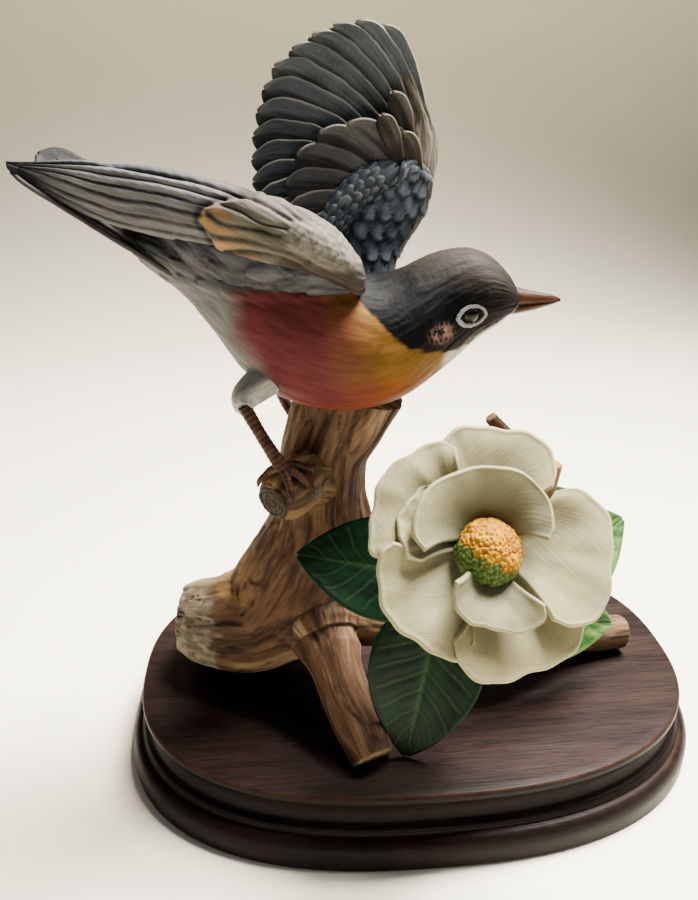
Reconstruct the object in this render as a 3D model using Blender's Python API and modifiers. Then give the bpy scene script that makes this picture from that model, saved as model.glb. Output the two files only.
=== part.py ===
"""A bisque porcelain robin landing on a stump beside a magnolia, on an oval wooden base.

Frame: +X runs along the base towards the beak, +Y goes away from the viewer, +Z is up.
The origin is the middle of the base's underside. Sizes are in metres.

The porcelain is one fired casting. Its free forms are drawn in millimetres, for a casting
DRAWN_HEIGHT tall, with z measured from the top of the base, and then scaled to FIGURE_HEIGHT.
"""

import math

import bmesh
import bpy
import numpy as np

# Wooden base
BASE_LENGTH = 0.210
BASE_DEPTH = 0.147
BASE_HEIGHT = 0.026
OUTLINE_POWER = 2.47
FOOT_HEIGHT = 0.011
FILLET_HEIGHT = 0.002
LIP_HEIGHT = 0.003
FILLET_INSET = 0.0035
COVE_INSET = 0.0075
LIP_INSET = 0.005
EDGE_ROUNDING = 0.0012
BASE_SIDES = 44

# Porcelain casting
RESTING_GAP = 0.0003
FIGURE_HEIGHT = 0.2175
DRAWN_HEIGHT = 217.5
MM = FIGURE_HEIGHT / DRAWN_HEIGHT
PETAL_THICKNESS = 0.0017
LEAF_THICKNESS = 0.0019
FEATHER_THICKNESS = 0.0021
LEG_DIAMETER = 0.0042
TOE_DIAMETER = 0.0028
TWIG_DIAMETER = 0.0048
EYE_DIAMETER = 0.0052
EYE_RIM = 0.0013
BOSS_DIAMETER = 0.0195
TRUNK_SIDES = 14
LIMB_SIDES = 10
THIN_SIDES = 8
BODY_SIDES = 16
EYE_SIDES = 10
BOSS_SIDES = 12
PETAL_GRID = (5, 7)
LEAF_GRID = (6, 5)
BALL_GRID = (8, 5)

# Where the robin's mirror plane stands across the base, and where its wings spring
BIRD_Y = -8.0
WING_ROOT_Y = 13.0

# How many feathers each part of the plumage is modelled with
FLIGHTS = 13
COVERTS = 7
LESSER_COVERTS = 7
NEAR_FLIGHTS = 7
NEAR_COVERTS = 4
TAIL_FEATHERS = 6
FLANK_ROWS = 2
FLANK_FEATHERS = 4

# The raised wing's fans, in drawn millimetres: where each is centred, and its tips' radius
FLIGHT_FAN = (0.5, 177.0)
FLIGHT_REACH = 41.0
FLIGHT_GAIN = 12.8
FLIGHT_LOSS = 1.4
COVERT_FAN = (-10.0, 160.0)
COVERT_REACH = 28.5
LESSER_FAN = (-8.0, 159.0)
LESSER_REACH = 19.5
LESSER_ROOT = 7.0

# The magnolia's heart and the direction it faces
FLOWER_HEART = np.array([12.0, -50.0, 76.7])
FLOWER_FACING = np.array([0.0, -0.82, 0.57])

PORCELAIN = "porcelain_robin_group"
BASE = "wooden_base"


def clear_scene():
    for old in list(bpy.data.objects):
        bpy.data.objects.remove(old, do_unlink=True)


def make_collection(name, helper=False):
    made = bpy.data.collections.new(name)
    bpy.context.scene.collection.children.link(made)
    made.hide_render = helper
    return made


def make_material(name, colour, roughness):
    made = bpy.data.materials.new(name)
    made.use_nodes = True
    shader = made.node_tree.nodes["Principled BSDF"]
    shader.inputs["Base Color"].default_value = (*colour, 1.0)
    shader.inputs["Roughness"].default_value = roughness
    shader.inputs["Metallic"].default_value = 0.0
    made.diffuse_color = (*colour, 1.0)
    return made


def unit(vector):
    vector = np.asarray(vector, float)
    return vector / np.linalg.norm(vector)


def through(stations, count):
    """A smooth path through rows of numbers: a Catmull-Rom spline read at even steps."""
    stations = np.asarray(stations, float)
    padded = np.vstack([2 * stations[0] - stations[1], stations, 2 * stations[-1] - stations[-2]])
    at = np.linspace(0, len(stations) - 1, count)
    first = np.minimum(at.astype(int), len(stations) - 2)
    t = (at - first)[:, None]
    before, start, end, after = (padded[first + i] for i in range(4))
    return 0.5 * (
        2 * start
        + (end - before) * t
        + (2 * before - 5 * start + 4 * end - after) * t**2
        + (3 * start - before - 3 * end + after) * t**3
    )


def add_mesh(name, points, faces, collection, material, drawn=True):
    """A mesh object. Drawn points are millimetres above the base's top, others are metres."""
    points = np.asarray(points, float).reshape(-1, 3)
    if drawn:
        points = points * MM + [0, 0, BASE_HEIGHT + RESTING_GAP]
    mesh = bpy.data.meshes.new(name)
    mesh.from_pydata(points.tolist(), [], faces)
    mesh.materials.append(material)
    mesh.validate()
    made = bpy.data.objects.new(name, mesh)
    collection.objects.link(made)
    return made


def face_out(made):
    shape = bmesh.new()
    shape.from_mesh(made.data)
    bmesh.ops.recalc_face_normals(shape, faces=shape.faces)
    shape.to_mesh(made.data)
    shape.free()
    return made


def as_helper(made):
    made.hide_render = True
    made.display_type = "WIRE"
    return made


def ring_faces(rings, sides):
    """The quads between closed rings, and one face over each end."""
    quads = [
        (i * sides + j, i * sides + (j + 1) % sides,
         (i + 1) * sides + (j + 1) % sides, (i + 1) * sides + j)
        for i in range(rings - 1)
        for j in range(sides)
    ]
    first = tuple(range(sides))[::-1]
    last = tuple(range((rings - 1) * sides, rings * sides))
    return quads + [first, last]


def loft(name, rings, collection, material, drawn=True):
    """A closed skin over a stack of rings, given as an array of rings x sides x 3."""
    count, sides = rings.shape[:2]
    made = add_mesh(name, rings, ring_faces(count, sides), collection, material, drawn)
    return face_out(made)


def rings_along(path, halves, sides, across=(0, 1, 0), ridges=None):
    """Oval rings square to a path.

    halves holds each ring's half-size along `across` and along the third direction, and
    ridges(angle, share) swells the ring by a share of its size.
    """
    path = np.asarray(path, float)
    along = np.gradient(path, axis=0)
    along /= np.linalg.norm(along, axis=1, keepdims=True)
    side = np.asarray(across, float) - along * (along @ np.asarray(across, float))[:, None]
    side /= np.linalg.norm(side, axis=1, keepdims=True)
    third = np.cross(along, side)
    angle = np.linspace(0, 2 * math.pi, sides, endpoint=False)
    share = np.linspace(0, 1, len(path))[:, None]
    swell = 1 + (ridges(angle[None, :], share) if ridges else 0 * share)
    u = halves[:, 0, None] * np.cos(angle) * swell
    v = halves[:, 1, None] * np.sin(angle) * swell
    return path[:, None] + u[..., None] * side[:, None] + v[..., None] * third[:, None]


def sheet(name, grid, thickness, collection, material):
    """A thin shell: an open surface over a grid of points, thickened by Solidify."""
    rows, columns = grid.shape[:2]
    faces = [
        (i * columns + j, i * columns + j + 1, (i + 1) * columns + j + 1, (i + 1) * columns + j)
        for i in range(rows - 1)
        for j in range(columns - 1)
    ]
    made = add_mesh(name, grid, faces, collection, material)
    wall = made.modifiers.new("Wall", "SOLIDIFY")
    wall.thickness = thickness
    wall.offset = 0.0
    return made


def tube(name, points, diameters, collection, material):
    """A round limb: a bevelled curve with filled caps, made a mesh. Diameters are in metres."""
    curve = bpy.data.curves.new(name, "CURVE")
    curve.dimensions = "3D"
    curve.bevel_depth = 1.0
    curve.bevel_resolution = 1
    curve.use_fill_caps = True
    spline = curve.splines.new("POLY")
    spline.points.add(len(points) - 1)
    for point, place, diameter in zip(spline.points, points, diameters):
        x, y, z = place
        point.co = (x * MM, y * MM, z * MM + BASE_HEIGHT + RESTING_GAP, 1.0)
        point.radius = diameter / 2
    guide = bpy.data.objects.new(name + "_curve", curve)
    collection.objects.link(guide)
    bpy.context.view_layer.update()
    graph = bpy.context.evaluated_depsgraph_get()
    mesh = bpy.data.meshes.new_from_object(guide.evaluated_get(graph))
    made = bpy.data.objects.new(name, mesh)
    made.matrix_world = guide.matrix_world.copy()
    bpy.data.objects.remove(guide, do_unlink=True)
    shape = bmesh.new()
    shape.from_mesh(mesh)
    bmesh.ops.remove_doubles(shape, verts=shape.verts, dist=1e-6)
    bmesh.ops.recalc_face_normals(shape, faces=shape.faces)
    shape.to_mesh(mesh)
    shape.free()
    mesh.materials.clear()
    mesh.materials.append(material)
    collection.objects.link(made)
    return made


def ball(name, centre, radius, collection, material):
    """A ball of a given radius, in drawn millimetres."""
    shape = bmesh.new()
    segments, rings = BALL_GRID
    bmesh.ops.create_uvsphere(shape, u_segments=segments, v_segments=rings, radius=radius)
    for point in shape.verts:
        for i in range(3):
            point.co[i] = (point.co[i] + centre[i]) * MM
        point.co.z += BASE_HEIGHT + RESTING_GAP
    mesh = bpy.data.meshes.new(name)
    shape.to_mesh(mesh)
    shape.free()
    mesh.materials.append(material)
    made = bpy.data.objects.new(name, mesh)
    collection.objects.link(made)
    return made


# Wooden base


def base_outline(inset):
    """A superellipse: fuller at the corners than an oval."""
    angle = np.linspace(0, 2 * math.pi, BASE_SIDES, endpoint=False)
    power = 2 / OUTLINE_POWER
    x = np.sign(np.cos(angle)) * np.abs(np.cos(angle)) ** power
    y = np.sign(np.sin(angle)) * np.abs(np.sin(angle)) ** power
    return np.stack([x * (BASE_LENGTH / 2 - inset), y * (BASE_DEPTH / 2 - inset)], axis=1)


def base_profile():
    """Inset and height up the moulding: rounded foot, fillet, cove and lip."""
    round_over = [
        (FILLET_INSET * (1 - math.cos(a)), FOOT_HEIGHT * (0.55 + 0.45 * math.sin(a)))
        for a in np.radians([0, 45, 90])
    ]
    cove_low = FOOT_HEIGHT + FILLET_HEIGHT
    cove_high = BASE_HEIGHT - LIP_HEIGHT
    cove_step = (cove_high - cove_low) / 3
    cove = [
        (COVE_INSET - (COVE_INSET - LIP_INSET) * (1 - math.sin(math.pi * i / 3)) * 0.6,
         cove_low + i * cove_step)
        for i in range(4)
    ]
    return [
        (EDGE_ROUNDING, 0.0),
        (0.0, EDGE_ROUNDING),
        *round_over,
        (FILLET_INSET + 0.4 * EDGE_ROUNDING, cove_low - EDGE_ROUNDING / 2),
        *cove,
        (LIP_INSET, cove_high + EDGE_ROUNDING / 2),
        (LIP_INSET, BASE_HEIGHT - EDGE_ROUNDING / 2),
        (LIP_INSET + EDGE_ROUNDING, BASE_HEIGHT),
    ]


def make_base(collection, wood):
    rings = []
    for inset, height in base_profile():
        outline = base_outline(inset)
        rings.append(np.column_stack([outline, np.full(len(outline), height)]))
    return loft(BASE, np.array(rings), collection, wood, drawn=False)


# Stump, log and branches


def bark(angle, share):
    """Long low ridges that wind slowly about a limb."""
    wind = angle + 1.3 * share
    return 0.045 * np.sin(4 * wind) + 0.03 * np.sin(7 * wind + 1.0 + 5 * share)


def make_stump(collection, wood):
    """The trunk under the belly, which bends over at its foot into a log lying to the left."""
    trunk = through(
        [
            (-23, -3, 112, 18.2, 15.0),
            (-26.8, -2, 101, 16.4, 14.5),
            (-31.4, -1, 88, 14.7, 14.0),
            (-33.0, 0, 74, 15.3, 14.0),
            (-33.5, 0, 60, 18.5, 15.0),
            (-37, 0, 46, 21.5, 17.0),
            (-44, 0, 32, 22.5, 18.5),
            (-54, 0, 22, 20.5, 19.0),
            (-64, 2, 19.0, 19.5, 18.5),
            (-72, 4, 17.8, 17.8, 17.2),
        ],
        14,
    )
    halves = trunk[:, [4, 3]]
    rings = rings_along(trunk[:, :3], halves, TRUNK_SIDES, ridges=bark)
    stump = loft("stump", rings, collection, wood["bark"])
    log_end = through(
        [(-58, 1, 18, 15.0), (-70, 4, 17.5, 16.0), (-79, 7, 17, 15.6), (-84.6, 9, 16.5, 13.4)], 5
    )
    rings = rings_along(log_end[:, :3], log_end[:, [3, 3]], LIMB_SIDES, ridges=bark)
    loft("log_end", rings, collection, wood["bare"])
    return stump


def make_branches(collection, wood):
    front = through(
        [
            (-30, -6, 30, 9.5),
            (-33, -14, 25, 10.5),
            (-31, -24, 20, 9.0),
            (-27, -37, 12, 8.6),
            (-22.5, -47.5, 5, 9.0),
            (-20, -52, 0, 9.2),
            (-19, -54, -5, 9.0),
        ],
        8,
    )
    rings = rings_along(front[:, :3], front[:, [3, 3]], LIMB_SIDES, across=(1, 0, 0), ridges=bark)
    loft("front_branch", rings, collection, wood["bark"])
    collar = through([(-33.5, -10, 28, 10), (-33, -14.5, 25.5, 12), (-32, -19, 23, 10)], 4)
    rings = rings_along(collar[:, :3], collar[:, [3, 3]], LIMB_SIDES, across=(1, 0, 0), ridges=bark)
    loft("branch_collar", rings, collection, wood["bark"])
    right = through(
        [
            (-30, -6, 22, 9.5),
            (-14, -12, 24, 8.0),
            (8, -17, 26, 7.5),
            (32, -14, 22, 7.5),
            (56, -8, 12, 7.0),
            (72, -4, 7, 6.6),
            (83, -2, 5.5, 6.0),
        ],
        9,
    )
    rings = rings_along(right[:, :3], right[:, [3, 3]], THIN_SIDES, ridges=bark)
    loft("right_branch", rings, collection, wood["bark"])
    knot = through(
        [(-25, -4, 80, 10), (-35, -17, 83, 10.2), (-42.5, -26, 84, 9.0), (-46, -30, 84, 7.0)], 5
    )
    rings = rings_along(knot[:, :3], knot[:, [3, 3]], LIMB_SIDES, across=(0, 0, 1), ridges=bark)
    loft("knot", rings, collection, wood["knot"])


def make_twigs(collection, wood):
    """The flower's stalk and the cut twigs that rise behind it."""
    thick = TWIG_DIAMETER
    stalk = through([(20, -14, 26), (19, -20, 48), (15, -36, 66), tuple(FLOWER_HEART)], 6)
    tube("flower_stalk", stalk, np.linspace(1.7, 1.5, 6) * thick, collection, wood["bark"])
    riser = through([(32, -14, 22), (38, -14, 45), (43, -12, 68), (46, -13, 84)], 6)
    tube("cut_twig", riser, np.linspace(1.5, 1.15, 6) * thick, collection, wood["knot"])
    fork = through([(41, -13, 56), (36, -17, 78), (28, -20, 95), (20, -19, 104.5)], 6)
    tube("dark_twig", fork, np.linspace(1.1, 0.62, 6) * thick, collection, wood["bark"])


# Robin


def make_body(collection, paint):
    """Breast, back and head in one skin, between a belly line and a back line."""
    stations = through(
        [
            (-84.0, 155.0, -90.0, 166.0, 8.0),
            (-71.5, 142.5, -79.0, 162.5, 11.0),
            (-63.5, 131.5, -68.5, 161.5, 14.5),
            (-56.5, 120.5, -57.5, 161.0, 18.5),
            (-46.0, 112.0, -45.0, 158.5, 21.5),
            (-33.0, 107.5, -32.0, 153.5, 23.0),
            (-19.5, 106.8, -19.5, 148.6, 22.5),
            (-7.5, 110.5, -10.5, 148.6, 20.5),
            (2.0, 117.0, -4.5, 151.0, 17.5),
            (9.5, 123.0, 0.5, 153.4, 14.5),
            (15.0, 127.8, 6.5, 155.0, 13.0),
            (19.5, 131.0, 12.8, 155.1, 12.4),
            (23.0, 133.4, 19.0, 152.6, 10.8),
            (25.6, 135.4, 24.0, 148.0, 8.0),
            (27.4, 137.3, 27.0, 143.6, 4.6),
        ],
        18,
    )
    belly = stations[:, [0, 1]]
    back = stations[:, [2, 3]]
    middle = (belly + back) / 2
    half = (back - belly) / 2
    angle = np.linspace(0, 2 * math.pi, BODY_SIDES, endpoint=False)
    rings = np.zeros((len(stations), len(angle), 3))
    rings[..., 0] = middle[:, :1] + half[:, :1] * np.sin(angle)
    rings[..., 1] = BIRD_Y + stations[:, 4:5] * np.cos(angle)
    rings[..., 2] = middle[:, 1:] + half[:, 1:] * np.sin(angle)
    return loft("robin_body", rings, collection, paint["breast"])


def make_beak(collection, paint):
    """Two mandibles: x and z along each, then its half-breadth and half-height there."""
    upper = through(
        [
            (22.0, 140.5, 4.6, 4.4),
            (27.5, 140.2, 3.3, 3.3),
            (34.0, 139.8, 2.1, 2.0),
            (42.0, 138.2, 0.4, 0.5),
        ],
        7,
    )
    lower = through(
        [
            (21.5, 137.8, 3.8, 3.0),
            (27.0, 137.6, 2.7, 2.2),
            (33.0, 137.8, 1.6, 1.4),
            (39.0, 138.2, 0.4, 0.4),
        ],
        6,
    )
    for name, mandible in (("upper_beak", upper), ("lower_beak", lower)):
        path = np.column_stack([mandible[:, 0], np.full(len(mandible), BIRD_Y), mandible[:, 1]])
        loft(name, rings_along(path, mandible[:, 2:], THIN_SIDES), collection, paint["beak"])


def make_eyes(collection, paint):
    """A ball in a raised rim on each side of the head."""
    for name, side in (("near", -1), ("far", 1)):
        centre = np.array([10.6, BIRD_Y + side * 11.3, 139.2])
        radius = EYE_DIAMETER / MM / 2
        rim = EYE_RIM / MM
        ball(name + "_eye", centre, radius, collection, paint["eye"])
        out = unit([0.28, side, 0.05])
        along = unit(np.cross(out, [0, 0, 1]))
        up = np.cross(along, out)
        angle = np.linspace(0, 2 * math.pi, EYE_SIDES, endpoint=False)
        around = np.cos(angle)[:, None] * along * 1.25 + np.sin(angle)[:, None] * up
        seat = centre + out * 1.0
        spot = np.linspace(0, 2 * math.pi, 4, endpoint=False)
        rings = (
            seat
            + around[None] * (radius + rim * np.cos(spot)[:, None, None])
            + out * (rim * np.sin(spot)[:, None, None])
        )
        count = len(spot)
        sides = len(angle)
        faces = [
            (i * sides + j, i * sides + (j + 1) % sides,
             (i + 1) % count * sides + (j + 1) % sides, (i + 1) % count * sides + j)
            for i in range(count)
            for j in range(sides)
        ]
        face_out(add_mesh(name + "_eye_rim", rings, faces, collection, paint["rim"]))


# Shares along a feather's length and its breadth there
LONG = ((0, 0.65), (0.4, 0.95), (0.72, 1.0), (0.9, 0.78), (1.0, 0.25))
SHORT = ((0, 0.7), (0.55, 1.0), (0.88, 0.8), (1.0, 0.3))


def feather(name, root, tip, width, facing, collection, material, bow=0.0, tilt=0.0, outline=LONG):
    """A vane with a raised shaft and a round tip.

    It runs from root to tip, bends sideways by bow, and tilt raises its upper edge over
    the feather beside it.
    """
    root = np.asarray(root, float)
    tip = np.asarray(tip, float)
    facing = unit(facing)
    side = unit(np.cross(facing, tip - root))
    share, breadth = np.array(outline).T
    line = root + share[:, None] * (tip - root) + (4 * share * (1 - share) * bow)[:, None] * side
    breadth = breadth * width / 2
    thick = FEATHER_THICKNESS / MM / 2
    rings = np.stack(
        [
            line + side * breadth[:, None] + facing * tilt,
            line + facing * thick,
            line - side * breadth[:, None] - facing * tilt,
            line - facing * thick,
        ],
        axis=1,
    )
    return loft(name, rings, collection, material)


def raised_wing_y(x, z):
    """How far back the raised wing stands: it leans away and is hollow behind."""
    return WING_ROOT_Y + 0.07 * (z - 146) + 0.003 * (x + 20) ** 2


def raised(x, z, lift=0.0):
    return np.array([x, raised_wing_y(x, z) - lift, z])


def fan_point(middle, reach, angle, lift):
    """A place on the raised wing, at a distance and an angle from a fan's middle."""
    x, z = middle
    return raised(x + reach * math.cos(angle), z + reach * math.sin(angle), lift)


def make_raised_wing(collection, paint):
    """The far wing, held straight up with its upper side to the viewer."""
    facing = (0, -1, 0.12)
    for i in range(FLIGHTS):
        share = i / (FLIGHTS - 1)
        angle = math.radians(108.5 + 91 * share**0.95)
        reach = FLIGHT_REACH + FLIGHT_GAIN * min(1, share * 2.3) ** 0.75
        reach -= FLIGHT_LOSS * math.sin(math.pi * share**2)
        tip = fan_point(FLIGHT_FAN, reach, angle, 0.25 * i)
        root = raised(0.5 - 15 * share, 190 - 30 * share)
        feather(
            f"flight_{i:02d}", root, tip, 9.5 + 1.5 * math.sin(math.pi * share), facing, collection,
            paint["dark"], bow=-1.0 - 4 * share**0.5, tilt=-0.7,
        )
    for i in range(COVERTS):
        share = i / (COVERTS - 1)
        angle = math.radians(98 + 92 * share)
        reach = COVERT_REACH + 6.0 * math.sin(math.pi * share)
        tip = fan_point(COVERT_FAN, reach, angle, 4.0)
        root = raised(-4 - 6 * share, 172 - 12 * share, 2.0)
        feather(
            f"covert_{i}", root, tip, 10.0, facing, collection, paint["dark"],
            bow=-2.0, tilt=-0.6, outline=SHORT,
        )
    for i in range(LESSER_COVERTS):
        share = i / (LESSER_COVERTS - 1)
        angle = math.radians(62 + 122 * share)
        tip = fan_point(LESSER_FAN, LESSER_REACH, angle, 5.4)
        root = fan_point(LESSER_FAN, LESSER_ROOT, angle, 4.0)
        feather(f"lesser_{i}", root, tip, 9.0, facing, collection, paint["dark"], tilt=-0.3,
                outline=SHORT)
    arm = through(
        [
            (-15.5, 141.0, 5.5, 6.0),
            (-14.5, 150.0, 6.4, 5.6),
            (-11.8, 158.0, 7.8, 5.2),
            (-7.2, 165.0, 8.8, 4.8),
            (-2.0, 173.0, 8.4, 4.4),
            (1.4, 182.0, 5.8, 3.5),
            (0.2, 193.0, 4.0, 2.4),
            (-5.6, 206.0, 3.0, 1.5),
            (-9.5, 212.0, 2.0, 1.1),
        ],
        9,
    )
    path = np.array([raised(x, z) for x, z in arm[:, :2]])
    loft("raised_arm", rings_along(path, arm[:, [3, 2]], THIN_SIDES), collection, paint["dark"])


def near(x, z, share):
    """A place on the near wing: share runs across it, from its back edge to its lower edge."""
    return np.array([x, -14.5 - 19.5 * share, z])


def make_near_wing(collection, paint):
    """The near wing, half folded, its long feathers drawn together over the tail."""
    facing = (0.12, -0.62, 0.78)
    for i in range(NEAR_FLIGHTS):
        share = (i / (NEAR_FLIGHTS - 1)) ** 1.2
        root = near(-34 - 12 * share, 163 - 7.5 * share, share) - [0, 0, 1.5]
        tip = np.array([-114.5 + 9 * share, -20.5 - 5 * share, 180.8 - 4.0 * share**2])
        feather(
            f"near_flight_{i}", root, tip, 7.0 + 2.5 * share, facing, collection, paint["grey"],
            bow=-7.4 + 9.3 * share, tilt=0.7,
        )
    for i in range(NEAR_COVERTS):
        share = i / (NEAR_COVERTS - 1)
        root = near(-29 - 3 * share, 160 - 6 * share, 0.35 + 0.6 * share)
        tip = near(-64 + 11 * share, 169.5 - 10.5 * share, 0.5 + 0.52 * share)
        feather(
            f"near_covert_{i}", root + [0, -2, 2], tip + [0, -1.5, 1], 9.0, facing, collection,
            paint["tan"], bow=-2 + 1.5 * share, tilt=0.5, outline=SHORT,
        )
    for i in range(NEAR_COVERTS):
        share = i / (NEAR_COVERTS - 1)
        root = near(-28, 157.5 - 6.5 * share, 0.35 + 0.6 * share)
        tip = near(-43 + 3 * share, 165 - 9 * share, 0.32 + 0.66 * share)
        feather(
            f"near_lesser_{i}", root + [0, -3, 2.5], tip + [0, -3, 2.5], 7.0, facing, collection,
            paint["tan"], tilt=0.4, outline=SHORT,
        )
    shoulder = through(
        [
            (-25.0, -22.0, 149.0, 4.0, 5.0),
            (-28.0, -23.5, 152.5, 8.0, 9.0),
            (-37.0, -23.5, 156.5, 8.5, 11.0),
            (-50.0, -23.5, 161.5, 6.5, 11.0),
            (-68.0, -23.0, 166.5, 4.5, 9.5),
            (-90.0, -22.5, 173.0, 2.2, 6.5),
            (-106.0, -22.0, 178.0, 1.0, 3.5),
        ],
        8,
    )
    rings = rings_along(shoulder[:, :3], shoulder[:, [3, 4]], THIN_SIDES, across=facing)
    loft("near_shoulder", rings, collection, paint["grey"])


def make_tail(collection, paint):
    """A narrow fan of straight feathers that leaves the rump at a steep slope."""
    facing = (0.6, -0.1, 0.78)
    for i in range(TAIL_FEATHERS):
        share = i / (TAIL_FEATHERS - 1)
        spread = share - 0.5
        root = np.array([-58.0, BIRD_Y + 13 * spread, 139.0 + 8 * share])
        tip = np.array([-114.5 + 8 * share, BIRD_Y + 26 * spread, 179.5 + 4.0 * share])
        feather(
            f"tail_{i}", root, tip, 8.0, facing, collection, paint["dark"],
            bow=1.5 * spread, tilt=0.5,
        )
    core = through([(-62, 142, 10, 6), (-80, 157, 9, 4.2), (-98, 170, 10, 1.8)], 4)
    path = np.column_stack([core[:, 0], np.full(len(core), BIRD_Y), core[:, 1]])
    loft("tail_core", rings_along(path, core[:, 2:], THIN_SIDES), collection, paint["dark"])


def make_flank(collection, paint):
    """Scale-shaped feathers in two rows between the near wing and the breast."""
    facing = (-0.1, -0.97, 0.22)
    for row in range(FLANK_ROWS):
        for i in range(FLANK_FEATHERS):
            x = -30 - 8.4 * i - 4 * row
            z = 152.0 - 7.0 * row + 0.9 * i
            y = BIRD_Y - 18.3 - 2.6 * row + 0.45 * i * (1 + 0.4 * i)
            root = (x + 7, y + 0.5, z - 1.0)
            tip = (x - 5, y - 0.6, z + 1.5)
            feather(
                f"flank_{row}{i}", root, tip, 9.0, facing, collection, paint["pale"],
                tilt=0.2, outline=SHORT,
            )


def make_legs(collection, paint):
    """Each leg leaves a feathered thigh and grips the wood: the near one stands on the knot."""
    legs = (
        ("near", [(-49, -17, 120), (-55.5, -25, 117), (-56.5, -29, 114.5)],
         [(-56.2, -29, 115.5), (-51.5, -30.5, 106.5), (-46, -31.5, 96.5)],
         [(-39, -34, 94.5), (-38, -28, 96), (-42, -36.5, 89.5), (-50, -33, 92.5)]),
        ("far", [(-44, 0, 116), (-47, 8, 112), (-47, 11, 109)],
         [(-47, 10.5, 110), (-44, 14, 100), (-38, 14, 90)],
         [(-33, 16, 85), (-30, 15.5, 89), (-36, 14, 83), (-42, 13, 87)]),
    )
    for name, thigh, shank, toes in legs:
        path = through(thigh, 5)
        halves = through([(7.5, 6.0), (5.0, 4.4), (3.4, 3.0)], 5)
        loft(name + "_thigh", rings_along(path, halves, THIN_SIDES), collection, paint["pale"])
        shank = through(shank, 6)
        tube(name + "_shank", shank, np.full(6, LEG_DIAMETER), collection, paint["leg"])
        for i, end in enumerate(toes):
            bend = (shank[-1] + np.asarray(end, float)) / 2 + [0, 0, 1.0]
            points = through([shank[-1], bend, end], 3)
            sizes = TOE_DIAMETER * np.array([1.2, 1.0, 0.65])
            tube(f"{name}_toe_{i}", points, sizes, collection, paint["leg"])


# Magnolia and leaves


def flower_axes():
    out = unit(FLOWER_FACING)
    right = unit(np.cross([0, 0, 1.0], out))
    return right, np.cross(out, right), out


def petal_grid(middle, spread, reach, rise, cup, notch, lean, roll):
    """A petal on a fan of lines from the flower's heart.

    middle and spread are the fan's middle angle and half-angle in degrees, reach its length,
    rise how far the rim comes forward, cup how far the sides do, notch how much the
    rim falls back at the sides, lean which side lies on top, and roll how the rim turns over.
    """
    rows, columns = PETAL_GRID
    across = np.linspace(-1, 1, columns)[None, :]
    along = np.linspace(0, 1, rows)[:, None]
    rim = reach * (1 - notch * np.abs(across) ** 3.5 + 0.02 * np.sin(9 * across + middle))
    radius = 3.0 + (rim - 3.0) * along
    angle = np.radians(middle + spread * across * (0.75 + 0.25 * along))
    height = rise * (1.6 * along - 0.6 * along**2)
    height = height + cup * across**2 * along + lean * across * along
    height = height - roll * np.clip(along - 0.72, 0, None) ** 2 * 12
    right, up, out = flower_axes()
    flat = radius[..., None] * (np.cos(angle)[..., None] * right + np.sin(angle)[..., None] * up)
    return FLOWER_HEART + flat + (height - 1.0)[..., None] * out


OUTER_PETALS = (
    ("top_petal", 80, 40, 36.0, 5.0, 1.5, 0.22, -1.8, 1.0),
    ("upper_left_petal", 146.5, 37, 36.6, 7.0, 2.0, 0.13, -1.8, 3.0),
    ("lower_left_petal", 217, 40, 35.0, 7.0, 2.0, 0.14, -1.8, 1.0),
    ("bottom_petal", 287, 38, 38.5, 5.0, 2.0, 0.17, -1.8, 1.5),
    ("right_petal", 0, 43, 37.5, 5.0, 2.0, 0.2, -1.8, 1.5),
)
INNER_PETALS = (
    ("upper_cup", 76, 60, 22.5, 15.0, 1.0, 0.2, 0.5, 0.5),
    ("left_cup", 168, 42, 25.0, 13.5, 1.0, 0.3, 0.8, 0.5),
    ("lower_cup", 257, 46, 25.0, 13.0, 1.5, 0.3, 1.5, 2.5),
)


def make_flower(collection, paint):
    for name, *sizes in OUTER_PETALS + INNER_PETALS:
        sheet(name, petal_grid(*sizes), PETAL_THICKNESS, collection, paint["petal"])
    right, up, out = flower_axes()
    middle = FLOWER_HEART + 4.0 * out - 1.5 * up
    half = BOSS_DIAMETER / MM / 2
    path = np.array([middle + out * h for h in (-6.0, -1.0, 3.0, 6.0, 8.2, 9.2)])
    sizes = np.array([0.72, 0.98, 1.0, 0.86, 0.58, 0.22]) * half
    rings = rings_along(path, np.column_stack([sizes, sizes]), BOSS_SIDES, across=up, ridges=boss_lumps)
    loft("boss", rings, collection, paint["boss"])


def boss_lumps(angle, share):
    return 0.05 * np.sin(5 * angle + 3 * share)


def leaf_grid(root, tip, width, facing, fold, droop):
    """An oval leaf with a point, creased down its midrib and wavy at its edges."""
    root = np.asarray(root, float)
    tip = np.asarray(tip, float)
    facing = unit(facing)
    side = unit(np.cross(facing, tip - root))
    rows, columns = LEAF_GRID
    along = np.linspace(0, 1, rows)[:, None]
    across = np.linspace(-1, 1, columns)[None, :]
    breadth = width / 2 * (0.05 + 0.95 * np.sin(math.pi * along**0.85) ** 0.75)
    height = fold * breadth * np.abs(across) + droop * (2 * along - 1) ** 2
    height = height + 0.7 * np.sin(7 * along + 2 * across) * across**2
    spine = root + along[..., None] * (tip - root)
    return spine + (across * breadth)[..., None] * side + height[..., None] * facing


LEAVES = (
    ("left_leaf", (8, -36, 57), (-42.3, -27, 63.3), 33, (0.0, -0.82, 0.57), 0.18, -2),
    ("front_leaf", (3, -38, 55), (-9.5, -53.5, 1.2), 37, (-0.1, -0.93, 0.35), 0.16, -2),
    ("upper_right_leaf", (22, -26, 60), (64, -4, 66), 30, (-0.2, -0.7, 0.68), 0.2, -2),
    ("right_leaf", (28, -26, 44), (75.5, -6, 59), 32, (0.25, -0.75, 0.6), 0.22, -2),
    ("lower_right_leaf", (19, -20, 32), (71.5, -18, 22.5), 30, (0.1, -0.85, 0.5), 0.22, -2),
)


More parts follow.
